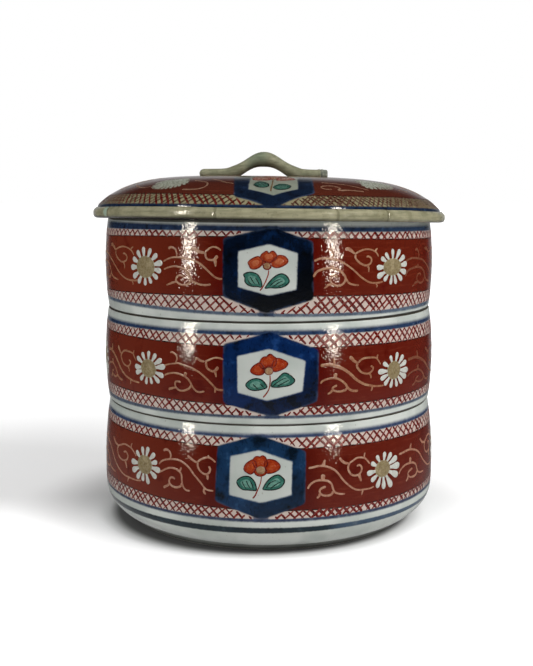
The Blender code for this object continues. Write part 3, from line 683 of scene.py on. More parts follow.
def over_edges(paint, edges, turn, up):
    """Return how far a place lies over each painted edge, in mm, as values of the node tree."""
    double = paint.times(turn, 2.0)
    waves = [paint.math(kind, angle) for angle in (turn, double) for kind in ("COSINE", "SINE")]
    found = []
    for height, *shares in edges:
        for wave, share in zip(waves, shares):
            height = paint.math("MULTIPLY_ADD", wave, share, height)
        found.append(paint.minus(up, height))
    return found


def between(paint, over_top, over_bottom, soft_top, soft_bottom):
    """Return 1 between two painted edges and 0 beyond them, with soft edges."""
    fall = paint.step(over_top, -soft_top / 2, soft_top / 2, 1.0, 0.0)
    return paint.times(fall, paint.step(over_bottom, -soft_bottom / 2, soft_bottom / 2))


def front_and_back(paint):
    """Return the distances right of the front line and out from the side plane, on either half."""
    half = paint.math("SIGN", paint.times(paint.y, -1.0))
    return paint.times(half, paint.x), paint.math("ABSOLUTE", paint.y)


# Colours: the blues of a frame and of the upper and lower blue line from dark to pale, and a
# red where it is plain, thin and thick
# Painted shadow in the seams between tiers and under the lid's rim
SEAM_SHADOW = (36, 30, 22)
OUTLINE = (34, 22, 20)
FRAME_BLUES = {
    "top_tier": ((4, 6, 10), (5, 17, 36), (10, 36, 72)),
    "middle_tier": ((4, 10, 22), (8, 33, 74), (26, 60, 112)),
    "bottom_tier": ((8, 20, 32), (20, 46, 76), (44, 76, 112)),
    "lid": ((10, 15, 27), (15, 27, 46), (34, 50, 78)),
}
LINE_BLUES = {
    "top_tier": (
        ((22, 28, 42), (34, 48, 74), (62, 82, 110)),
        ((62, 72, 88), (80, 92, 108), (106, 118, 128)),
    ),
    "middle_tier": (
        ((26, 38, 60), (40, 56, 84), (72, 86, 108)),
        ((52, 62, 78), (72, 82, 98), (98, 108, 116)),
    ),
    "bottom_tier": (
        ((38, 48, 70), (54, 66, 94), (84, 94, 112)),
        ((36, 46, 68), (54, 62, 84), (84, 92, 106)),
    ),
}

# How much each frame darkens towards its lower right
FRAME_SHADES = {"top_tier": 0.95, "middle_tier": 0.5, "bottom_tier": 0.55, "lid": 0.0}

REDS = {
    "top_tier": ((90, 27, 14), (110, 44, 27), (78, 8, 3)),
    "middle_tier": ((90, 25, 14), (106, 42, 27), (74, 8, 3)),
    "bottom_tier": ((90, 28, 17), (108, 46, 31), (74, 16, 9)),
    # The lid's red is a darker copy of the tiers' red: painted shade on the dome
    "lid": ((76, 32, 21), (90, 46, 32), (62, 22, 13)),
}


def red_ground(paint, name, across, up, deep, paler):
    """Return overglaze iron red, brushed in rows, with thin and thick places."""
    plain, thin, thick = REDS[name]
    rows = paint.add("ShaderNodeCombineXYZ", X=paint.times(across, 0.12), Y=up, Z=0.0)
    streaks = paint.noise(0.7, 3.0, 0.6, place=rows.outputs[0])
    cloud = paint.noise(0.09, 3.0, 0.6)
    brushed = paint.math("MAXIMUM", paint.step(streaks, 0.50, 0.74, 0.0, 0.6), paler)
    base = paint.mix(brushed, plain, thin)
    pooled = paint.math("MAXIMUM", paint.step(cloud, 0.54, 0.74, 0.0, 0.8), deep)
    return paint.mix(pooled, base, thick)


def frame_blue(paint, name, across, up, wobble):
    """Return the frame's mask, the distance outside it, its hole's mask and its colour."""
    outer, inner = FRAMES[name]
    moved = paint.plus(across, wobble)
    rim = paint.outside(outer, moved, up, 2.2)
    hole = paint.outside(inner, moved, up, 0.9)
    inside = paint.step(rim, -0.45, 0.4, 1.0, 0.0)
    centre = paint.step(hole, -0.6, 0.3, 1.0, 0.0)
    dark, mid, pale = FRAME_BLUES[name]
    wash = blue_wash(paint, dark, mid, pale, 0.13)
    brush = paint.noise(1.5, 2.0, 0.6, stretch=(1, 1, 0.25))
    wash = paint.mix(paint.step(brush, 0.55, 0.75, 0.0, 0.7), wash, dark)
    middle = MIDDLES.get(name, 0)
    slant = paint.minus(paint.times(across, 0.7), paint.minus(up, middle))
    shade = paint.step(slant, 2.0, 13.0, 0.0, FRAME_SHADES[name])
    wash = paint.mix(shade, wash, dark)
    fade = paint.step(hole, -0.3, 0.8, 0.5, 0.0)
    wash = paint.mix(fade, wash, pale)
    thin = paint.times(paint.step(rim, -1.3, 0.1), paint.step(paint.noise(0.2, 2.0), 0.4, 0.65))
    return inside, rim, centre, paint.mix(thin, wash, (48, 62, 84))


def painted_bands(paint, name, across, turn, rim, over):
    """Return the wall's colour without frames: blue lines, tinted hatch ground and red field."""
    base = porcelain(paint)
    for top, bottom in HATCH_BANDS:
        tint = paint.mix(paint.noise(0.3, 3.0), (200, 190, 182), (182, 162, 150))
        base = paint.mix(between(paint, over[top], over[bottom], 0.3, 0.3), base, tint)
    deep = paint.step(rim, 1.0, 9.0, 0.85, 0.0)
    # The red is paler towards the left side of the tier
    paler = paint.step(turn, -0.95, -0.3, 0.8, 0.0)
    red = red_ground(paint, name, across, paint.z, deep, paler)
    base = paint.mix(between(paint, over[2], over[3], 0.25, 0.25), base, red)
    for (top, bottom, *soft), blues in zip(BLUE_LINES, LINE_BLUES[name]):
        wash = blue_wash(paint, *blues, 0.3)
        if name == "top_tier" and top == 0:
            wash = paint.mix(paint.step(turn, 0.3, 1.0, 0.0, 0.5), wash, blues[2])
        base = paint.mix(between(paint, over[top], over[bottom], *soft), base, wash)
    for edge in (2, 3):
        strength = paint.step(paint.noise(0.25, 2.0), 0.25, 0.5, 0.55, 1.0)
        line = paint.times(paint.band(over[edge], -0.26, 0.26, 0.16), strength)
        base = paint.mix(line, base, OUTLINE)
    return base


def foot_line(paint, base, turn, up):
    """Lay the broad line round the bottom tier's foot, and painted shade under it."""
    top, bottom = over_edges(paint, BASE_LINE, turn, up)
    broad = blue_wash(paint, (18, 30, 36), (26, 40, 48), (42, 56, 64), 0.16)
    bluer = blue_wash(paint, (44, 60, 80), (58, 76, 96), (84, 98, 110), 0.16)
    broad = paint.mix(paint.step(turn, 0.3, 0.42), broad, bluer)
    base = paint.mix(between(paint, top, bottom, 0.7, 0.7), base, broad)
    # Painted shade towards the floor, darkest at the foot
    return paint.mix(paint.step(paint.z, 0.4, 3.4, 0.9, 0.0), base, (40, 38, 32))


def tip_washes(paint, name, base, across, up, over):
    """Let the blue lines run into the frame's top and bottom tips."""
    outer = FRAMES[name][0]
    ragged = paint.plus(across, paint.wave(paint.noise(0.35, 2.0), 1.4))
    for tip, side, edge in ((outer[1], 1, 0), (outer[4], -1, 5)):
        aside = paint.math("ABSOLUTE", paint.minus(ragged, tip[0]))
        past_tip = paint.times(paint.minus(up, tip[1]), side)
        past_line = paint.times(over[edge], side)
        run = paint.step(aside, 2.8, 4.0, 1.0, 0.0)
        run = paint.times(run, paint.step(past_tip, -3.0, -2.0))
        run = paint.times(run, paint.step(past_line, -0.6, 0.4, 0.85, 0.0))
        base = paint.mix(run, base, blue_wash(paint, *LINE_BLUES[name][0], 0.3))
    return base


def paint_seam_shadow(paint, name, base, turn):
    """Paint shadow at the wall's seams, more so under the lid's left and where a seam opens."""
    low, high, *_ = WALLS[name]
    seam = paint.step(paint.z, high - 0.35, high - 0.1)
    if name == "top_tier":
        under_rim = paint.step(paint.z, high - 1.5, high - 1.2)
        under_rim = paint.times(under_rim, paint.step(turn, -0.15, 0.4, 1.0, 0.0))
        seam = paint.math("MAXIMUM", seam, under_rim)
    if name != "bottom_tier":
        rise = paint.minus(paint.z, paint.step(turn, 0.1, 1.1, 0.0, 0.5))
        seam = paint.math("MAXIMUM", seam, paint.step(rise, low + 0.1, low + 0.5, 1.0, 0.0))
    return paint.mix(paint.times(seam, 0.85), base, SEAM_SHADOW)


def tier_wall(name):
    """Painted wall of a tier: bands all round, and a hexagon frame in front and behind."""
    paint = Paint(name + "_wall")
    half, depth = front_and_back(paint)
    across = paint.times(paint.math("ARCTAN2", half, depth), SPREAD_RADIUS)
    turn = paint.turn()
    up = paint.plus(paint.z, paint.wave(paint.noise(0.8, 2.0, 0.6), 0.2))
    over = over_edges(paint, EDGES[name], turn, up)
    wobble = paint.wave(paint.noise(0.5, 3.0, 0.6), 0.35)
    inside, rim, centre, frame_wash = frame_blue(paint, name, across, up, wobble)
    base = painted_bands(paint, name, across, turn, rim, over)
    if name == "bottom_tier":
        base = foot_line(paint, base, turn, up)
    base = tip_washes(paint, name, base, across, up, over)
    base = paint.mix(inside, base, frame_wash)
    base = paint.mix(centre, base, porcelain(paint, (186, 190, 184), (170, 176, 170)))
    base = paint_seam_shadow(paint, name, base, turn)
    return paint.finish(base, glaze_roughness(paint), glaze_bump(paint), 0.08, GLOSS)


def lid_dome(name):
    """Painted dome: red field, tinted hatch ground, blue edge line and two long hexagons."""
    paint = Paint(name + "_dome")
    across, out = front_and_back(paint)
    squares = paint.plus(paint.math("POWER", paint.x, 2.0), paint.math("POWER", paint.y, 2.0))
    radius = paint.math("SQRT", squares)
    slow = paint.wave(paint.noise(0.035, 2.0), 1.0)
    ragged = paint.wave(paint.noise(0.8, 2.0, 0.6), 0.22)
    reach = paint.plus(radius, paint.plus(slow, ragged))
    base = porcelain(paint)
    round_by = paint.times(paint.math("ARCTAN2", paint.x, paint.y), SPREAD_RADIUS)
    red = red_ground(paint, "lid", round_by, radius, 0.0, 0.0)
    base = paint.mix(paint.step(reach, 78.9, 79.2, 1.0, 0.0), base, red)
    # The lid's hatch ground is a darker, greyer copy of the tiers': painted shade on the dome
    tint = paint.mix(paint.noise(0.3, 3.0), (142, 136, 106), (122, 114, 88))
    base = paint.mix(paint.step(reach, 78.9, 79.2), base, tint)
    base = paint.mix(paint.band(reach, 78.8, 79.3, 0.16), base, OUTLINE)
    wash = blue_wash(paint, (18, 28, 44), (28, 42, 64), (50, 64, 84), 0.3)
    base = paint.mix(paint.step(radius, 84.2, 84.8), base, wash)
    wobble = paint.wave(paint.noise(0.5, 3.0, 0.6), 0.35)
    inside, _, centre, wash = frame_blue(paint, "lid", across, out, wobble)
    base = paint.mix(inside, base, wash)
    # The lid's white panel is a darker copy of the tiers' white: painted shade on the dome
    base = paint.mix(centre, base, porcelain(paint, (138, 142, 128), (120, 125, 112)))
    return paint.finish(base, glaze_roughness(paint), glaze_bump(paint), 0.06, GLOSS)


def celadon(name, light, shade, deep, grain):
    """Return the paint and colour of a grey-green glaze: clouded, pooled darker, streaked."""
    paint = Paint(name)
    cloud = paint.noise(0.12, 3.0, 0.6)
    base = paint.mix(paint.step(cloud, 0.32, 0.62), shade, light)
    streak = paint.noise(0.5, 3.0, 0.6, stretch=grain)
    base = paint.mix(paint.step(streak, 0.45, 0.7, 0.0, 0.6), base, deep)
    pale = tuple(min(255, part + 16) for part in light)
    base = paint.mix(paint.step(streak, 0.3, 0.42, 0.5, 0.0), base, pale)
    pool = paint.step(paint.noise(0.33, 3.0, 0.6), 0.58, 0.78)
    base = paint.mix(paint.times(pool, 0.5), base, deep)
    speck = paint.step(paint.noise(1.6, 0.0), 0.76, 0.82)
    return paint, paint.mix(paint.times(speck, 0.5), base, (70, 60, 40))


def cane_glaze():
    """Glaze of the cane rim: dark lines at the knots, a shaded lower edge and one pale spot."""
    greens = (154, 150, 122), (130, 126, 99), (108, 108, 84)
    paint, base = celadon("cane_glaze", *greens, (0.15, 0.15, 1.5))
    turn = paint.turn()
    nearest = 9.0
    for knot in KNOT_ANGLES:
        away = paint.math("WRAP", paint.minus(turn, math.radians(knot)), math.pi, -math.pi)
        nearest = paint.math("MINIMUM", nearest, paint.math("ABSOLUTE", paint.plus(away, 0.004)))
    dark = paint.step(nearest, 0.003, 0.011, 0.5, 0.0)
    base = paint.mix(dark, base, (84, 80, 58))
    side = paint.math("DIVIDE", paint.math("ABSOLUTE", paint.x), LID_RADIUS)
    side = paint.math("POWER", side, 4.0)
    warped = paint.math("MULTIPLY_ADD", paint.x, LID_TILT, paint.times(side, SIDE_SAG))
    level = paint.plus(paint.z, warped)
    low = paint.step(level, LID_SEAT - 0.2, LID_SEAT + 1.1, 0.95, 0.0)
    low = paint.times(low, paint.step(paint.x, 0.0, 45.0, 1.0, 0.35))
    base = paint.mix(low, base, (26, 25, 19))
    spot = paint.vector("SUBTRACT", paint.place, (-75.5, -43.0, 150.0))
    spot = paint.step(paint.vector("LENGTH", spot), 1.6, 3.2, 0.8, 0.0)
    base = paint.mix(spot, base, (156, 178, 160))
    return paint.finish(base, glaze_roughness(paint, 0.08, 0.2), glaze_bump(paint), 0.04, GLOSS)


def stem_glaze(name, light, shade, deep):
    """Glaze of the stem handle, greener under its crown."""
    paint, base = celadon(name, light, shade, deep, (0.15, 1.5, 1.5))
    crown = paint.math("ABSOLUTE", paint.plus(paint.x, 6.0))
    base = paint.mix(paint.step(crown, 2.0, 8.0, 0.6, 0.0), base, (112, 126, 104))
    return paint.finish(base, glaze_roughness(paint, 0.1, 0.22), glaze_bump(paint), 0.04, GLOSS)


def enamel(name, main, worn, thick, rough=0.3):
    """Overglaze enamel or gold line: uneven in strength, rubbed thin in places."""
    paint = Paint(name)
    base = paint.mix(paint.step(paint.noise(0.8, 3.0, 0.6), 0.42, 0.68), main, worn)
    base = paint.mix(paint.step(paint.noise(0.28, 2.0), 0.55, 0.72), base, thick)
    roughness = paint.step(paint.noise(1.2, 2.0), 0.3, 0.7, rough * 0.7, rough * 1.3)
    return paint.finish(base, roughness, paint.noise(1.8, 3.0, 0.6), 0.02, GLOSS)


def polar(radius, turn):
    """Return x and y at a radius, at a turn in radians from the front."""
    return radius * math.sin(turn), -radius * math.cos(turn)


# Straight parts that a rounded corner of an outline is made of
FILLET_STEPS = 6


def fillet(before, corner, after, size):
    """Return the points of an arc that rounds a corner of an outline."""
    arms = []
    for neighbour in (before, after):
        run = (neighbour[0] - corner[0], neighbour[1] - corner[1])
        length = math.hypot(*run)
        arms.append((run[0] / length, run[1] / length, length))
    half_angle = math.acos(arms[0][0] * arms[1][0] + arms[0][1] * arms[1][1]) / 2
    setback = min(size / math.tan(half_angle), arms[0][2] / 2, arms[1][2] / 2)
    radius = setback * math.tan(half_angle)
    middle = (arms[0][0] + arms[1][0], arms[0][1] + arms[1][1])
    scale = radius / math.sin(half_angle) / math.hypot(*middle)
    centre = (corner[0] + middle[0] * scale, corner[1] + middle[1] * scale)
    angles = []
    for arm in arms:
        height = corner[1] + arm[1] * setback - centre[1]
        angles.append(math.atan2(height, corner[0] + arm[0] * setback - centre[0]))
    sweep = (angles[1] - angles[0] + math.pi) % (2 * math.pi) - math.pi
    turns = [angles[0] + sweep * step / FILLET_STEPS for step in range(FILLET_STEPS + 1)]
    return [(centre[0] + radius * math.cos(a), centre[1] + radius * math.sin(a)) for a in turns]


def rounded(corners):
    """Turn corners (radius, height, rounding, zone) into outline points (radius, height, zone).

    The zone is the material of the strip that starts at the point. Half of each rounding
    belongs to the strip before the corner.
    """
    points = []
    for index, (radius, height, size, zone) in enumerate(corners):
        if not size:
            points.append((radius, height, zone))
            continue
        arc = fillet(corners[index - 1], (radius, height), corners[index + 1], size)
        before = corners[index - 1][3]
        for step, point in enumerate(arc):
            points.append((*point, before if step < FILLET_STEPS // 2 else zone))
    return points


def turned(name, outline, materials, angles, shift=None):
    """Return a solid of revolution from outline points (radius, height, zone).

    shift moves each point: it is called with radius, height, zone and degrees, and returns
    a radius and height.
    """
    shape = bmesh.new()
    rings = []
    for radius, height, zone in outline:
        if radius == 0:
            rings.append([shape.verts.new((0, 0, height / 1000))])
            continue
        ring = []
        for degrees in angles:
            out, up = shift(radius, height, zone, degrees) if shift else (radius, height)
            x, y = polar(out, math.radians(degrees))
            ring.append(shape.verts.new((x / 1000, y / 1000, up / 1000)))
        rings.append(ring)
    for (upper, lower), (_, _, zone) in zip(zip(rings, rings[1:]), outline):
        for index in range(len(angles)):
            after = (index + 1) % len(angles)
            corners = [upper[index % len(upper)], lower[index % len(lower)]]
            corners += [lower[after % len(lower)], upper[after % len(upper)]]
            face = shape.faces.new(list(dict.fromkeys(corners)))
            face.material_index = zone
            face.smooth = True
    bmesh.ops.recalc_face_normals(shape, faces=shape.faces)
    return as_object(name, shape, materials, 38)


def as_object(name, shape, materials, sharp):
    """Turn a bmesh into an object in the scene, with edges sharper than an angle kept crisp."""
    mesh = bpy.data.meshes.new(name)
    shape.to_mesh(mesh)
    shape.free()
    for material in materials:
        mesh.materials.append(material)
    mesh.set_sharp_from_angle(angle=math.radians(sharp))
    piece = bpy.data.objects.new(name, mesh)
    bpy.context.scene.collection.objects.link(piece)
    return piece


# Zones of an outline, in the order of a piece's materials
PAINTED, WHITE, BARE, CANE = 0, 1, 2, 3

# Strips up a tier's wall, out across the dome, and across the lid's hollow, and faces in a ring
WALL_STEPS = 24
DOME_STEPS = 44
HOLLOW_STEPS = 24
RING_FACES = 300
STEM_FACES = 36


def wall_radius(name, height):
    """Radius of a tier's outer wall, in mm, at a height."""
    low, high, base, mouth, swell = WALLS[name]
    if height < low:
        drop = (low - height) / low
        return base - BASE_ROUND_WIDTH + BASE_ROUND_WIDTH * math.sqrt(1 - drop * drop)
    share = (height - low) / (high - low)
    return base + (mouth - base) * share + swell * 4 * share * (1 - share)


def side_down(name):
    """Return the outer side's points from the mouth to the base."""
    low, high, *_ = WALLS[name]
    heights = [high + (low - high) * step / WALL_STEPS for step in range(1, WALL_STEPS)]
    return [(wall_radius(name, height), height, 0, PAINTED) for height in heights]


def tray_inside(name, floor_top, cove):
    """Return the corners of a tier's inside, from the floor's centre to the outer lip."""
    low, high, base, mouth, swell = WALLS[name]
    inside = []
    for step in range(1, 16):
        share = step / 16
        height = low + (high - low) * share
        if height > floor_top + cove + 1:
            radius = base + (TIER_RADIUS - base) * share + swell * 4 * share * (1 - share)
            inside.append((radius - WALL, height, 0, WHITE))
    return [
        (0, floor_top, 0, WHITE),
        (base - WALL, floor_top, cove, WHITE),
        *inside,
        (MOUTH_BORE, high, INNER_LIP_ROUND, BARE),
        (mouth, high, LIP_ROUND, PAINTED),
    ]


def upper_tier(name):
    """Return the outline of a tier with a ring that drops into the one below."""
    low, _, base, *_ = WALLS[name]
    bore = SPIGOT_RADIUS - SPIGOT_WALL
    return rounded([
        *tray_inside(name, low + FLOOR, COVE),
        *side_down(name),
        (base, low, LIP_ROUND, BARE),
        (SPIGOT_RADIUS, low, 0, BARE),
        (SPIGOT_RADIUS, low - SPIGOT_DEPTH, SPIGOT_ROUND, BARE),
        (bore, low - SPIGOT_DEPTH, SPIGOT_ROUND, WHITE),
        (bore, low, 0, WHITE),
        (0, low, 0, WHITE),
    ])


def bottom_tier(name):
    """Return the outline of the tier with a rounded base on a foot ring."""
    low, _, base, *_ = WALLS[name]
    inner = FOOT_RADIUS - FOOT_WIDTH
    foot_angle = math.acos((FOOT_RADIUS - base) / BASE_ROUND_WIDTH + 1)
    base_round = []
    for step in range(21):
        height = low * (1 - math.sin(foot_angle * step / 20))
        base_round.append((wall_radius(name, height), height, 0, PAINTED))
    return rounded([
        *tray_inside(name, FOOT_RECESS + FLOOR, BASE_COVE),
        *side_down(name),
        *base_round,
        (FOOT_RADIUS, FOOT_BEVEL_HEIGHT, 0, BARE),
        (FOOT_RADIUS - FOOT_BEVEL, 0, 0, BARE),
        (inner + FOOT_BEVEL, 0, 0, BARE),
        (inner, FOOT_BEVEL_HEIGHT, 0, WHITE),
        (inner, FOOT_RECESS, 0, WHITE),
        (0, FOOT_RECESS, 0, WHITE),
    ])


def dome_height(radius):
    """Height of the lid's upper surface over its seat."""
    share = min(radius / LID_RADIUS, 1.0)
    return NOSE_HEIGHT + DOME_RISE * (1 - share ** DOME_FULLNESS) ** DOME_SHOULDER


def dome_radius(height):
    """Radius at which the lid's upper surface passes a height over its seat."""
    share = (height - NOSE_HEIGHT) / DOME_RISE
    return LID_RADIUS * (1 - share ** (1 / DOME_SHOULDER)) ** (1 / DOME_FULLNESS)


def warp(x, radius):
    """How far firing lifted or sank the lid's outer skin there."""
    lift = RIM_LIFT * (radius / LID_RADIUS) ** 6
    return -LID_TILT * x + lift - SIDE_SAG * (abs(x) / LID_RADIUS) ** 4


def dome_side(outer, raised, zone, steps):
    """Return points of the dome, or of a surface parallel to it, from the axis outwards."""
    radii = [outer * math.sin(math.pi / 2 * step / steps) for step in range(steps + 1)]
    return [(radius, LID_SEAT + dome_height(radius) + raised, 0, zone) for radius in radii]


def lid_outline():
    """Return the lid's outline: painted dome, groove, cane rim, bare seat and white inside."""
    groove_top = GROOVE_HEIGHT + GROOVE_WIDTH
    groove_floor = GROOVE_HEIGHT + GROOVE_WIDTH / 2
    bore = FLANGE_RADIUS - FLANGE_WALL
    return rounded([
        *dome_side(dome_radius(groove_top), 0, PAINTED, DOME_STEPS)[:-1],
        (dome_radius(groove_top), LID_SEAT + groove_top, 0, PAINTED),
        (
            dome_radius(groove_floor) - GROOVE_DEPTH,
            LID_SEAT + groove_floor - GROOVE_DEPTH,
            0,
            PAINTED,
        ),
        (dome_radius(GROOVE_HEIGHT), LID_SEAT + GROOVE_HEIGHT, 0, CANE),
        (LID_RADIUS, LID_SEAT + SHOULDER_HEIGHT, 2.0, CANE),
        (LID_RADIUS, LID_SEAT - RIM_DROP, 2.2, CANE),
        (RIM_BORE, LID_SEAT - RIM_DROP, 0, BARE),
        (RIM_BORE, LID_SEAT, 0, BARE),
        (FLANGE_RADIUS, LID_SEAT, 0, BARE),
        (FLANGE_RADIUS, LID_SEAT - FLANGE_DEPTH, FLANGE_ROUND, BARE),
        (bore, LID_SEAT - FLANGE_DEPTH, FLANGE_ROUND, WHITE),
        *reversed(dome_side(bore, -LID_WALL, WHITE, HOLLOW_STEPS)),
    ])


def swelling(distance, height, reach):
    """Return a bell-shaped bump of that height and reach, at a distance from its middle."""
    return height * math.exp(-((distance / reach) ** 2))


def lid_shift(radius, height, zone, degrees):
    """Warp the lid's outer skin and swell the cane at its knots."""
    outer = zone in (PAINTED, CANE) or (radius > RIM_BORE - 0.01 and height < LID_SEAT - 0.1)
    if outer:
        height += warp(radius * math.sin(math.radians(degrees)), radius)
    if zone == CANE and radius > RIM_BORE + 0.5:
        for knot in KNOT_ANGLES:
            away = ((degrees - knot + 180) % 360 - 180) * ARC
            radius += 0.9 * (swelling(away, KNOT_HEIGHT, 1.1) - swelling(away, 0.3, 0.32))
    return radius, height


def ring_angles(extra=()):
    """Return evenly spaced degrees, with closer ones about the extra places."""
    angles = {round(360 * step / RING_FACES, 3) for step in range(RING_FACES)}
    for place in extra:
        for step in range(-8, 9):
            angles.add(round((place + step * 0.2) % 360, 3))
    return sorted(angles)


def stem_point(along):
    """Return the height of the stem's centre line over the lid's seat, and its radius."""
    from_arch = along - ARCH_CENTRE
    lift = 0.0
    if abs(from_arch) < ARCH_HALF_SPAN:
        lift = ARCH_LIFT * math.cos(math.pi / 2 * from_arch / ARCH_HALF_SPAN) ** 2
    radius = STEM_RADIUS + STEM_TAPER * along / HANDLE_RIGHT + swelling(from_arch, 1.3, 6.5)
    radius += swelling(abs(from_arch) - ANKLE_OFFSET, 0.65, 4.7)
    to_knot = HANDLE_RIGHT - KNOT_FROM_CUT - along
    radius += swelling(to_knot, 0.45, 1.1) - swelling(to_knot, 0.5, 0.3)
    from_tip = along + HANDLE_LEFT
    if from_tip < TIP_LENGTH:
        radius *= math.sqrt(max(0.0, 1 - (1 - from_tip / TIP_LENGTH) ** 2))
    from_cut = HANDLE_RIGHT - along
    if from_cut < CUT_ROUND:
        radius -= CUT_ROUND - math.sqrt(max(0.0, CUT_ROUND ** 2 - (CUT_ROUND - from_cut) ** 2))
    return dome_height(abs(along)) + STEM_RADIUS - STEM_SINK + lift, radius


def handle(name, materials):
    """Return the bamboo-like stem, pressed flat where it lies on the dome."""
    start, end = TIP_LENGTH - HANDLE_LEFT, HANDLE_RIGHT - CUT_ROUND
    quarter = math.pi / 2
    stations = [start - TIP_LENGTH * math.cos(quarter * step / 10) for step in range(10)]
    stations += [start + (end - start) * step / 150 for step in range(151)]
    stations += [HANDLE_RIGHT - CUT_ROUND * math.cos(quarter * step / 5) for step in range(1, 6)]
    shape = bmesh.new()
    rings = []
    for along in stations:
        height, radius = stem_point(along)
        slope = (stem_point(along + 0.1)[0] - stem_point(along - 0.1)[0]) / 0.2
        steep = math.hypot(1, slope)
        ring = []
        for step in range(STEM_FACES):
            turn = 2 * math.pi * step / STEM_FACES
            side = radius * STEM_WIDTH_RATIO * math.sin(turn)
            x = along - radius * math.cos(turn) * slope / steep
            up = LID_SEAT + height + radius * math.cos(turn) / steep
            bed = LID_SEAT + dome_height(math.hypot(x, side)) + 0.02
            up = max(up, bed) + warp(x, abs(x))
            ring.append(shape.verts.new((x / 1000, side / 1000, min(up, HANDLE_TOP) / 1000)))
        rings.append(ring)
    for first, second in zip(rings, rings[1:]):
        for step in range(STEM_FACES):
            after = (step + 1) % STEM_FACES
            face = shape.faces.new((first[step], second[step], second[after], first[after]))
            face.smooth = True
            face.material_index = int(first[0].co.x * 1000 > HANDLE_RIGHT - CUT_GLAZE)
    for ring in (rings[0], rings[-1]):
        shape.faces.new(ring).material_index = int(ring is rings[-1])
    bmesh.ops.remove_doubles(shape, verts=shape.verts, dist=1e-7)
    bmesh.ops.recalc_face_normals(shape, faces=shape.faces)
    return as_object(name, shape, materials, 40)


def curve_through(points, spacing, closed=False):
    """Return evenly spaced points on a smooth curve through flat points."""
    count = len(points)
    path = []
    for index in range(count if closed else count - 1):
        near = []
        for step in (-1, 0, 1, 2):
            place = index + step
            near.append(points[place % count if closed else min(max(place, 0), count - 1)])
        steps = max(1, math.ceil(math.dist(near[1], near[2]) / spacing))
        for step in range(steps):
            t = step / steps
            weights = (
                -t + 2 * t * t - t ** 3,
                2 - 5 * t * t + 3 * t ** 3,
                t + 4 * t * t - 3 * t ** 3,
                -t * t + t ** 3,
            )
            path.append(tuple(sum(w * p[k] for w, p in zip(weights, near)) / 2 for k in (0, 1)))
    if not closed:
        path.append(tuple(points[-1]))
    return path


# The rims of raised marks lie this far under the glaze, and a patch has rings at these shares
SUNK = -0.02
PATCH_RINGS = (0.93, 0.66, 0.36)


class Relief:
    """Thin raised brush marks on one surface. place(x, y, lift) gives a mark's point in mm."""

    def __init__(self, place):
        self.place = place
        self.shape = bmesh.new()
        self.paints = []

    def vert(self, x, y, lift):
        """Add a point of a mark, lifted off the surface by that many mm."""
        return self.shape.verts.new(self.place(x, y, lift) / 1000)

    def index(self, paint):
        """Return the enamel's place among the materials of the piece."""
        if paint not in self.paints:
            self.paints.append(paint)
        return self.paints.index(paint)

    def face(self, verts, index):
        """Add a smooth face of one enamel."""
        face = self.shape.faces.new(verts)
        face.material_index = index
        face.smooth = True

    def stroke(self, paint, points, widths, height, spacing):
        """Lay a brush line with three widths, at its start, middle and end."""
        path = curve_through(points, spacing)
        last = len(path) - 1
        index = self.index(paint)
        lengths = [0.0]
        for first, second in zip(path, path[1:]):
            lengths.append(lengths[-1] + math.dist(first, second))
        before = None
        for step, (x, y) in enumerate(path):
            back, ahead = path[max(step - 1, 0)], path[min(step + 1, last)]
            run = (ahead[0] - back[0], ahead[1] - back[1])
            length = math.hypot(*run) or 1.0
            side = (-run[1] / length, run[0] / length)
            share = lengths[step] / lengths[-1] * 2
            low, high = (widths[0], widths[1]) if share < 1 else (widths[1], widths[2])
            half = (low + (high - low) * (share % 1 if share < 2 else 1.0)) / 2
            left = min(lengths[step], lengths[-1] - lengths[step])
            if left < half:
                half *= 0.35 + 0.65 * math.sqrt(1 - (1 - left / half) ** 2)
            top = SUNK if step in (0, last) else height
            ring = []
            for offset, lift in ((-1, SUNK), (-0.5, top), (0.5, top), (1, SUNK)):
                out = half * offset
                ring.append(self.vert(x + side[0] * out, y + side[1] * out, lift))
            if before:
                for a, b, c, d in zip(before, before[1:], ring[1:], ring):
                    self.face((a, b, c, d), index)
            before = ring

    def blob(self, paint, outline, height, spacing=0.6):
        """Fill an outline with a low domed patch."""
        edge = curve_through(outline, spacing, closed=True)
        index = self.index(paint)
        middle = middle_of(edge)
        before = [self.vert(*point, SUNK) for point in edge]
        for scale in PATCH_RINGS:
            ring = []
            for point in edge:
                spot = (m + (value - m) * scale for m, value in zip(middle, point))
                ring.append(self.vert(*spot, height))
            for step, vert in enumerate(ring):
                self.face((before[step - 1], before[step], vert, ring[step - 1]), index)
            before = ring
        top = self.vert(*middle, height)
        for step, vert in enumerate(before):
            self.face((before[step - 1], vert, top), index)

    def done(self, name, body):
        """Turn the marks into one piece that rides on a body."""
        bmesh.ops.recalc_face_normals(self.shape, faces=self.shape.faces)
        piece = as_object(name, self.shape, [ENAMELS[paint] for paint in self.paints], 70)
        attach(piece, body)


def on_tier(name):
    """Return the function that gives the place of flat coordinates on a tier's wall."""
    def place(x, y, lift):
        return Vector((*polar(wall_radius(name, y) + lift, x / SPREAD_RADIUS), y))
    return place


def dome_point(x, y, lift):
    """Return the place on the dome over a spot of its plan, lifted off along the normal."""
    radius = max(math.hypot(x, y), 0.001)
    slope = (dome_height(radius + 0.05) - dome_height(radius - 0.05)) / 0.1
    steep = math.hypot(1, slope)
    out = -slope / steep * lift
    up = LID_SEAT + dome_height(radius) + warp(x, radius) + lift / steep
    return Vector((x * (1 + out / radius), y * (1 + out / radius), up))


def dome_polar(x, y, lift):
    """Return the place on the dome for mm round it from the front, and a radius."""
    return dome_point(*polar(y, x / SPREAD_RADIUS), lift)


def beyond(corners, x, y):
    """Return the distance outside a convex polygon, below zero inside it."""
    return max(a * x + b * y + c for a, b, c in sides(corners))


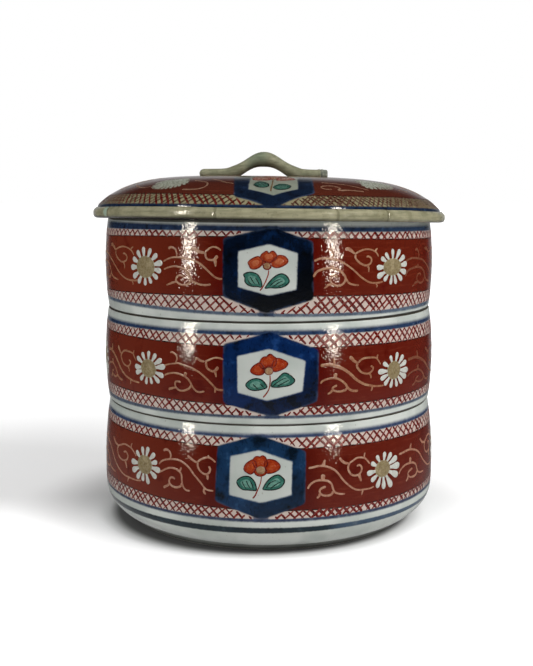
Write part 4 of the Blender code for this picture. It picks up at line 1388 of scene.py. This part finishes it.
# Enamels: name of the material, its colour, where it is worn and where thick, and its roughness
ENAMELS = {key: enamel(*look) for key, look in {
    "gold": ("gold_line", (148, 104, 74), (128, 76, 52), (160, 124, 92), 0.34),
    "rose_gold": ("rose_gold_line", (160, 118, 94), (138, 84, 64), (172, 136, 112), 0.36),
    "hatch": ("hatch_red", (82, 6, 5), (104, 18, 14), (62, 4, 4)),
    "hatch_pale": ("hatch_red_thin", (108, 20, 14), (128, 46, 36), (86, 8, 6)),
    # The lid's enamels are darker, greyer copies of the tiers': painted shade on the dome
    "lid_hatch": ("lid_hatch", (56, 24, 16), (72, 40, 28), (42, 16, 10)),
    "lid_hatch_red": ("lid_hatch_red", (88, 18, 12), (104, 36, 26), (66, 10, 8)),
    "lid_hatch_pale": ("lid_hatch_thin", (76, 44, 32), (92, 62, 46), (58, 28, 18)),
    "lid_gold": ("lid_gold_line", (128, 100, 80), (110, 74, 56), (142, 116, 96), 0.36),
    "lid_leaf": ("lid_leaf", (44, 80, 68), (60, 94, 82), (26, 54, 46), 0.2),
    "lid_leaf_pale": ("lid_leaf_pale", (64, 98, 86), (82, 114, 102), (46, 80, 70), 0.2),
    "lid_stem": ("lid_stem", (98, 74, 44), (112, 90, 62), (80, 56, 30), 0.3),
    "lid_petal": ("lid_petal_white", (150, 153, 138), (134, 136, 120), (162, 165, 152), 0.25),
    "lid_petal_pale": ("lid_petal_root", (160, 163, 150), (146, 149, 134), (168, 171, 158), 0.25),
    "lid_orange": ("lid_petal_red", (132, 78, 64), (140, 98, 82), (120, 58, 44), 0.25),
    "lid_orange_pale": (
        "lid_petal_red_pale", (140, 102, 88), (144, 116, 102), (128, 82, 68), 0.25,
    ),
    "worn_gold": ("worn_gold_line", (114, 66, 44), (104, 46, 28), (126, 82, 58), 0.36),
    "petal": ("petal_white", (190, 191, 184), (176, 176, 166), (198, 200, 192), 0.22),
    "core": ("daisy_centre", (134, 120, 88), (116, 100, 70), (150, 136, 104), 0.3),
    "orange": ("petal_orange", (144, 52, 22), (156, 68, 36), (128, 38, 14), 0.22),
    "orange_pale": ("petal_orange_pale", (162, 80, 46), (172, 98, 62), (148, 62, 30), 0.22),
    "deep_orange": ("petal_deep_orange", (140, 40, 8), (152, 54, 18), (122, 28, 6), 0.22),
    "deep_orange_pale": (
        "petal_deep_orange_pale", (150, 52, 14), (162, 70, 30), (138, 40, 8), 0.22,
    ),
    "orange_line": ("petal_outline", (92, 12, 4), (112, 26, 12), (72, 8, 4), 0.25),
    "leaf": ("leaf_green", (44, 94, 82), (62, 114, 100), (26, 70, 62), 0.14),
    "leaf_pale": ("leaf_green_pale", (84, 128, 114), (108, 148, 134), (58, 106, 94), 0.14),
    "leaf_line": ("leaf_outline", (10, 18, 18), (22, 34, 32), (5, 9, 10), 0.25),
    "stem": ("stem_red", (124, 34, 16), (142, 56, 34), (100, 22, 10), 0.25),
    "flower_core": ("flower_centre", (140, 104, 74), (156, 128, 98), (118, 80, 52), 0.25),
}.items()}


def oval(centre, half, count=14):
    """Return the outline of an ellipse."""
    turns = [2 * math.pi * step / count for step in range(count)]
    return [(centre[0] + half[0] * math.cos(a), centre[1] + half[1] * math.sin(a)) for a in turns]


def scaled(outline, scale):
    """Return an outline made smaller or larger about its middle."""
    middle = middle_of(outline)
    return [tuple(m + (value - m) * scale for m, value in zip(middle, point)) for point in outline]


def folded(x):
    """Return mm round the wall from the nearer of its front and back lines."""
    return (x + HALF_TURN / 2) % HALF_TURN - HALF_TURN / 2


def kept_runs(points, keep):
    """Split a line into the stretches whose points are kept."""
    runs = [[]]
    for point in points:
        if keep(*point):
            runs[-1].append(point)
        elif runs[-1]:
            runs.append([])
    return [run for run in runs if len(run) > 2]


# Parts that a hatching line is drawn in
LINE_PARTS = 18


def hatching(relief, top, bottom, keep, dice, pitch, paints=("hatch", "hatch_pale"), thin=1.0):
    """Cross-hatch a band all round by hand: strong lines one way, thinner ones the other.

    top and bottom give the band's edges for mm round it, and keep says which points are drawn.
    The brush carries most enamel 28 mm right of the front line.
    """
    count = round(2 * HALF_TURN / pitch)
    for lean, paint, width, steep in ((1, paints[0], 1.2, 46), (-1, paints[1], 0.95, 42)):
        for step in range(count):
            start = (step + dice.uniform(-0.13, 0.13)) * 2 * HALF_TURN / count
            tall = abs(top(start) - bottom(start))
            run = tall / math.tan(math.radians(steep + dice.uniform(-3.5, 3.5))) * lean
            first, last = -dice.uniform(0.02, 0.08), 1 + dice.uniform(0.02, 0.06)
            bend = dice.uniform(-0.18, 0.18)
            points = []
            for part in range(LINE_PARTS + 1):
                share = first + (last - first) * part / LINE_PARTS
                x = start + run * share + bend * math.sin(math.pi * share)
                points.append((x, top(x) + (bottom(x) - top(x)) * share))
            load = 1 + swelling(folded(start) - 28, 0.35, 9)
            if folded(start) > 20:
                load += 0.12
            thick = width * thin * dice.uniform(0.8, 1.2) * load
            for stretch in kept_runs(points, keep):
                ends = thick * dice.uniform(0.6, 1.0), thick, thick * dice.uniform(0.5, 0.9)
                relief.stroke(paint, stretch[::2] + stretch[-1:], ends, 0.04, 1.6)


# Half breadth of a daisy's petal at shares of its length
PETAL = ((0.0, 0.3), (0.35, 0.5), (0.66, 0.86), (0.86, 0.86), (0.97, 0.46), (1.0, 0.0))


def daisy(relief, centre, half, tips, turn):
    """Paint a daisy: a ring of white petals about a taupe centre."""
    turned_tips = []
    for x, y in tips:
        turned_tips.append((
            x * math.cos(turn) - y * math.sin(turn),
            x * math.sin(turn) + y * math.cos(turn),
        ))
    for tip in turned_tips:
        length = math.hypot(*tip)
        along = (tip[0] / length, tip[1] / length)
        root = 0.62 / math.hypot(along[0] / half[0], along[1] / half[1])
        wide = 0.57 * math.pi * length / len(tips)
        outline = []
        for side, profile in ((1, PETAL), (-1, PETAL[-2::-1])):
            for share, breadth in profile:
                reach = root + (length - root) * share
                out = wide * breadth * side
                outline.append((
                    centre[0] + along[0] * reach - along[1] * out,
                    centre[1] + along[1] * reach + along[0] * out,
                ))
        relief.blob("petal", outline, 0.07, 0.6)
    relief.blob("core", oval(centre, half), 0.10, 0.8)


def flower(relief, shape, petal, place, leaf="leaf", stalk="stem"):
    """Paint a medallion's flower: petals with outlines, two veined leaves, stem and centre."""
    spots = {}
    for key in ("petals", "leaves", "veins"):
        spots[key] = [place(points) for points in shape[key]]
    for outline in spots["leaves"]:
        relief.blob(leaf, outline, 0.06)
        relief.blob(leaf + "_pale", scaled(outline, 0.62), 0.075)
        relief.stroke("leaf_line", [*outline, outline[0]], (0.6, 0.72, 0.6), 0.10, 0.5)
    for vein in spots["veins"]:
        relief.stroke("leaf_line", vein, (0.55, 0.75, 0.4), 0.10, 0.6)
    widths, stem = shape["stem"]
    relief.stroke(stalk, place(stem), widths, 0.10, 0.6)
    middles = [middle_of(outline) for outline in spots["petals"]]
    relief.blob(petal, [*middles, *place([shape["core"][0]])], 0.06)
    for outline in spots["petals"]:
        relief.blob(petal, scaled(outline, 1.06), 0.07)
        relief.blob(petal + "_pale", scaled(outline, 0.55), 0.085)
    for outline in spots["petals"]:
        relief.stroke("orange_line", [*outline, outline[0]], (0.6, 0.74, 0.6), 0.11, 0.5)
    for key, paint, height in (("ring", "orange_line", 0.12), ("core", "flower_core", 0.15)):
        centre, half = shape[key]
        more = 0.1 if key == "ring" else 0.3
        relief.blob(paint, place(oval(centre, [size + more for size in half])), height, 0.5)


# How much wider the vines are laid than their traced widths
VINE_WEIGHT = 1.65


def scroll(relief, paint, unit, start, end, middle, scale=1.0):
    """Lay one unit of curling gold vine between two places round the wall."""
    for widths, *points in unit:
        spread = []
        for share, height in points:
            spread.append((start + (end - start) * share, middle + height * scale))
        relief.stroke(paint, spread, [width * VINE_WEIGHT for width in widths], 0.05, 0.7)


# Degrees that scrolls keep from a daisy's middle
DAISY_HALF = 7


def gaps(name):
    """Return where scrolls go: their start and end in mm round the wall, and their unit's side."""
    outer = FRAMES[name][0]
    left = min(x for x, _ in outer)
    right = max(x for x, _ in outer)
    stops = [(right, right)]
    for degrees in DAISY_ANGLES[name]:
        stops.append(((degrees - DAISY_HALF) * ARC, (degrees + DAISY_HALF) * ARC))
    stops.append((2 * HALF_TURN + left, 0))
    stops.insert(4, (HALF_TURN + left, HALF_TURN + right))
    found = []
    for (_, start), (end, _) in zip(stops, stops[1:]):
        near_left = end in (HALF_TURN + left, 2 * HALF_TURN + left)
        found.append((start, end, "left" if near_left else "right"))
    return found


# Mm between the hatching lines of the upper and lower band
HATCH_PITCHES = {"top_tier": (4.2, 4.3), "middle_tier": (4.2, 4.1), "bottom_tier": (4.2, 3.7)}

# Mm that raised marks keep from a frame's sides, and sideways from its top and bottom tips
FRAME_GAP = 0.25
TIP_GAP = 3.2

# The gap right of the front daisy, where the gold is worn and lies lower: degrees, and mm down
WORN_GAP = (48, 60)
WORN_DROP = 1.8


def edge_line(name, index):
    """Return the function that gives a painted edge's height for mm round the tier."""
    return lambda x: edge_height(EDGES[name][index], x / SPREAD_RADIUS)


def decorate_tier(name):
    """Paint a tier's raised marks: hatching, scrolls, daisies and the two medallions."""
    dice = random.Random(name)
    relief = Relief(on_tier(name))
    outer = FRAMES[name][0]
    middle = MIDDLES[name]

    def clear(x, y):
        tip = outer[1] if y > middle else outer[4]
        return beyond(outer, folded(x), y) > FRAME_GAP and abs(folded(x) - tip[0]) > TIP_GAP

    for (top, bottom), pitch in zip(HATCH_BANDS, HATCH_PITCHES[name]):
        hatching(relief, edge_line(name, top), edge_line(name, bottom), clear, dice, pitch)
    gold = "rose_gold" if name == "bottom_tier" else "gold"
    for start, end, side in gaps(name):
        worn = WORN_GAP[0] < start / ARC < WORN_GAP[1]
        paint, height = ("worn_gold", middle - WORN_DROP) if worn else (gold, middle)
        scroll(relief, paint, SCROLLS[name + "_" + side], start, end, height)
    for degrees in DAISY_ANGLES[name]:
        side = "_right" if degrees < 180 else "_left"
        (traced, height), half, tips = DAISIES[name + side]
        seen = abs((degrees - traced + 180) % 360 - 180) < 0.5
        turn = 0.0 if seen else dice.uniform(0, 2 * math.pi)
        height += 0.0 if seen else dice.uniform(-0.8, 0.8)
        daisy(relief, (degrees * ARC, height), half, tips, turn)
    petal = "orange" if name == "top_tier" else "deep_orange"
    for shift in (0, HALF_TURN):
        def place(points):
            return [(x + shift, y + middle) for x, y in points]

        flower(relief, FLOWERS[name], petal, place)
    relief.done(name + "_enamels", name)


# Lines and fans of the lid's front half, as degrees from the front and mm from the axis
LID_SCROLLS = (
    ((0.8, 1.1, 0.8), (-63.7, 69.7), (-57.5, 72.4), (-50.9, 73.6), (-48.5, 72.1)),
    ((1.3, 1.1, 0.9), (-30.6, 75.4), (-25.6, 75.2), (-23.0, 73.0), (-23.1, 69.2), (-25.7, 65.7),
        (-32.0, 63.1)),
    ((0.8, 1.0, 0.8), (-13.2, 67.8), (-17.0, 66.0), (-20.8, 62.6), (-25.8, 59.4)),
    ((0.8, 1.2, 1.1), (22.4, 73.2), (19.8, 73.4), (18.8, 71.4), (20.6, 69.6), (24.4, 69.6),
        (25.9, 72.0), (24.4, 74.4), (28.3, 74.0), (34.4, 75.0)),
    ((1.0, 0.9, 0.8), (21.4, 64.4), (26.2, 65.6), (31.2, 67.7), (35.2, 71.2), (37.6, 73.6)),
    ((0.7, 0.9, 0.6), (56.6, 72.6), (59.1, 71.7), (60.6, 73.6), (63.0, 73.2)),
)
LID_FANS = (
    ((-40.6, 61.5), ((-46.8, 73.8), (-49.8, 68.5), (-50.3, 65.1), (-47.7, 60.8), (-42.8, 57.7),
        (-38.0, 58.8), (-35.2, 62.3), (-32.3, 69.4), (-34.5, 73.2), (-38.1, 75.2), (-42.6, 75.4))),
    ((49.6, 60.0), ((42.0, 58.3), (47.4, 55.4), (53.9, 54.6), (60.0, 58.4), (61.5, 65.4),
        (57.6, 69.4), (52.6, 71.7), (46.3, 72.1), (39.3, 72.0), (38.6, 68.0), (40.4, 65.0))),
)


# Radii of the edges of the lid's hatched ring, and petals in one of its large daisies
LID_HATCH = (79.1, 84.5)
FAN_PETALS = 26


def fan(relief, root, outline):
    """Paint a large daisy of many narrow petals from a root to the spots of an outline."""
    edge = curve_through(outline, 0.5, closed=True)
    for step in range(FAN_PETALS):
        tip = edge[round(step * len(edge) / FAN_PETALS) % len(edge)]
        path = []
        for share in (0.1, 0.4, 0.7, 1.0):
            path.append(tuple(a + (b - a) * share for a, b in zip(root, tip)))
        wide = 2 * math.pi * math.dist(root, tip) / FAN_PETALS
        relief.stroke("lid_petal", path, (0.5, 0.66 * wide, 0.42 * wide), 0.05, 0.8)
    relief.blob("lid_petal_pale", oval(root, (3.6, 2.6)), 0.07, 0.8)


def decorate_lid():
    """Paint the dome's raised marks the same way, in rings about its middle."""
    dice = random.Random("lid")
    relief = Relief(dome_polar)
    outer = FRAMES["lid"][0]

    def clear(x, y):
        turn = folded(x) / SPREAD_RADIUS
        return beyond(outer, y * math.sin(turn), y * math.cos(turn)) > FRAME_GAP

    inner, outside = LID_HATCH
    for side, pitch, paints, thin in (
        (-1, 3.3, ("lid_hatch_red", "lid_hatch"), 1.0),
        (1, 2.6, ("lid_hatch", "lid_hatch_pale"), 0.8),
    ):
        def keep(x, y):
            return folded(x) * side > 0 and clear(x, y)

        hatching(relief, lambda x: inner, lambda x: outside, keep, dice, pitch, paints, thin)
    names = ("bottom_tier_right", "middle_tier_left", "top_tier_right", "bottom_tier_left")
    units = [SCROLLS[name] for name in names]
    for unit, (start, end) in zip(units, ((68, 86), (94, 112), (248, 266), (274, 292))):
        scroll(relief, "lid_gold", unit, start * ARC, end * ARC, 65.5, -1.25)
    for index in range(6):
        start = 20 + index * 60
        unit = units[(index + 1) % 4]
        scroll(relief, "lid_gold", unit, start * ARC, (start + 52) * ARC, 31, -0.9)
    for half_turn in (0, 180):
        for widths, *points in LID_SCROLLS:
            spread = [((degrees + half_turn) * ARC, radius) for degrees, radius in points]
            relief.stroke("lid_gold", spread, widths, 0.05, 0.7)
    lid_marks = Relief(dome_point)
    for half_turn in (0, 180):
        for root, tips in LID_FANS:
            spots = []
            for degrees, radius in (root, *tips):
                spots.append(polar(radius, math.radians(degrees + half_turn)))
            fan(lid_marks, spots[0], spots[1:])
    for side in (1, -1):
        def place(points):
            return [(x * side, -y * side) for x, y in points]

        flower(lid_marks, LID_FLOWER, "lid_orange", place, "lid_leaf", "lid_stem")
    lid_marks.done("lid_enamel_flowers", "lid")
    relief.done("lid_enamel_lines", "lid")


def make_object():
    """Build the tiers, the lid and the handle, each in place of its plain solid."""
    white = white_glaze("inner_glaze")
    bare = biscuit("bare_body")
    even = ring_angles()
    for name in WALLS:
        outline = bottom_tier(name) if name == "bottom_tier" else upper_tier(name)
        tier = turned(name + "_tray", outline, [tier_wall(name), white, bare], even)
        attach(tier, name)
        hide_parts(name)
        decorate_tier(name)
    materials = [lid_dome("lid"), white, bare, cane_glaze()]
    uneven = ring_angles(KNOT_ANGLES)
    cover = turned("lid_cover", lid_outline(), materials, uneven, lid_shift)
    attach(cover, "lid")
    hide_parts("lid")
    decorate_lid()
    stem = stem_glaze("stem_glaze", (146, 145, 120), (122, 122, 98), (102, 104, 82))
    end = stem_glaze("stem_end_glaze", (118, 121, 108), (98, 104, 92), (80, 88, 80))
    grip = handle("handle_stem", [stem, end])
    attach(grip, "lid")
    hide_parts("lid_handle")


def area_light(name, place, target, size, power, glossy=True, diffuse=True, tint=(1, 1, 1)):
    """Add a lamp of that size in metres and power in watts, for glossy or diffuse rays or both."""
    lamp = bpy.data.lights.new(name, "AREA")
    lamp.shape = "RECTANGLE"
    lamp.size, lamp.size_y = size
    lamp.energy = power
    lamp.color = tint
    light = bpy.data.objects.new(name, lamp)
    light.location = place
    light.rotation_euler = (Vector(target) - Vector(place)).to_track_quat("-Z", "Y").to_euler()
    light.visible_glossy = glossy
    light.visible_diffuse = diffuse
    light.visible_camera = False
    bpy.context.scene.collection.objects.link(light)


def make_floor():
    """Pale floor that keeps the shadow, and whitens for the camera away from the object.

    It is darker under the overhang of the base. Distances on it are in metres from a spot
    4 mm left of the axis.
    """
    shape = bmesh.new()
    bmesh.ops.create_grid(shape, x_segments=2, y_segments=2, size=12)
    material = bpy.data.materials.new("floor")
    nodes = Nodes(material, "Object", 1)
    away = nodes.vector("LENGTH", nodes.vector("ADD", nodes.place, (0.004, 0.0, 0.0)))
    front = nodes.step(nodes.times(nodes.y, -1.0), -0.02, 0.05)
    side = nodes.math("MAXIMUM", front, nodes.step(nodes.x, 0.0, 0.09))

    def glow(start, end, most):
        """Return light that grows from one distance to another."""
        return nodes.step(away, start, end, 0.0, most)

    # Painted light: the camera sees more glow in front of and right of the foot than on its left
    near = nodes.times(side, glow(0.0735, 0.083, 0.2))
    near = nodes.plus(near, glow(0.0735, 0.13, 0.38))
    near = nodes.plus(near, nodes.times(front, glow(0.074, 0.086, 0.22)))
    far = nodes.plus(glow(0.17, 0.36, 0.22), glow(0.3, 1.2, 0.4))
    seen = nodes.add("ShaderNodeLightPath").outputs["Is Camera Ray"]
    shader = nodes.tree.nodes["Principled BSDF"]
    # Painted shadow: the floor's colour darkens under the overhang of the base
    nodes.set(shader.inputs["Base Color"], nodes.step(away, 0.0705, 0.0768, 0.14, 0.7))
    nodes.set(shader.inputs["Roughness"], 0.9)
    nodes.set(shader.inputs["Specular IOR Level"], 0.0)
    nodes.set(shader.inputs["Emission Color"], (1, 1, 1, 1))
    nodes.set(shader.inputs["Emission Strength"], nodes.times(seen, nodes.plus(near, far)))
    floor = as_object("floor", shape, [material], 40)
    floor.visible_glossy = False


def make_world():
    """White surroundings for the camera, even light, and a dim room for the glaze to reflect."""
    world = bpy.data.worlds.new("studio")
    bpy.context.scene.world = world
    nodes = Nodes(world, "Generated", 1)
    behind = nodes.step(nodes.y, 0.8, 1.0, 0.0, 0.4)
    behind = nodes.times(behind, nodes.step(nodes.z, 0.1, 0.45, 1.0, 0.0))
    below = nodes.step(nodes.z, -0.5, -0.1, 0.4, 0.0)
    mirrored = nodes.plus(nodes.math("MAXIMUM", behind, below), 0.015)
    paths = nodes.add("ShaderNodeLightPath").outputs
    light = nodes.mix(paths["Is Glossy Ray"], (0.36, 0.36, 0.36, 1), mirrored)
    straight = nodes.math("MAXIMUM", paths["Is Camera Ray"], paths["Is Transmission Ray"])
    sky = nodes.tree.nodes["Background"].inputs["Color"]
    nodes.set(sky, nodes.mix(straight, light, (1, 1, 1, 1)))


def around(degrees, elevation, reach):
    """Return a place that far from the object's middle, at degrees right of the front."""
    tilt = math.radians(elevation)
    x, y = polar(reach * math.cos(tilt), math.radians(degrees))
    return (x, y, MIDDLE_HEIGHT + reach * math.sin(tilt))


def make_lamps():
    """A soft key from the right, softer fill from above and left, and two strips that glint."""
    middle = (0, 0, MIDDLE_HEIGHT)
    area_light("key", around(64, 35, 1.6), middle, (0.8, 0.8), 20, glossy=False)
    area_light("left_fill", around(-50, 22, 1.8), middle, (1.4, 1.4), 12, glossy=False)
    area_light("overhead", (0.1, -0.3, 1.6), middle, (1.6, 1.6), 2, glossy=False)
    for degrees in STRIP_ANGLES:
        place = (*polar(1, math.radians(degrees)), STRIP_HEIGHT)
        target = (0, 0, STRIP_HEIGHT)
        area_light("strip", place, target, (0.03, 0.7), 8.5, diffuse=False, tint=(1, 0.91, 0.77))


def make_camera():
    """Camera fitted to the photograph."""
    lens = bpy.data.cameras.new("camera")
    lens.lens = LENS_LENGTH
    lens.shift_x, lens.shift_y = LENS_SHIFT
    lens.clip_start = 0.01
    camera = bpy.data.objects.new("camera", lens)
    camera.location = CAMERA_PLACE
    camera.rotation_euler = (math.radians(CAMERA_TILT), 0, 0)
    bpy.context.scene.collection.objects.link(camera)
    bpy.context.scene.camera = camera
    bpy.context.scene.view_settings.view_transform = "Standard"


make_object()
make_floor()
make_world()
make_lamps()
make_camera()
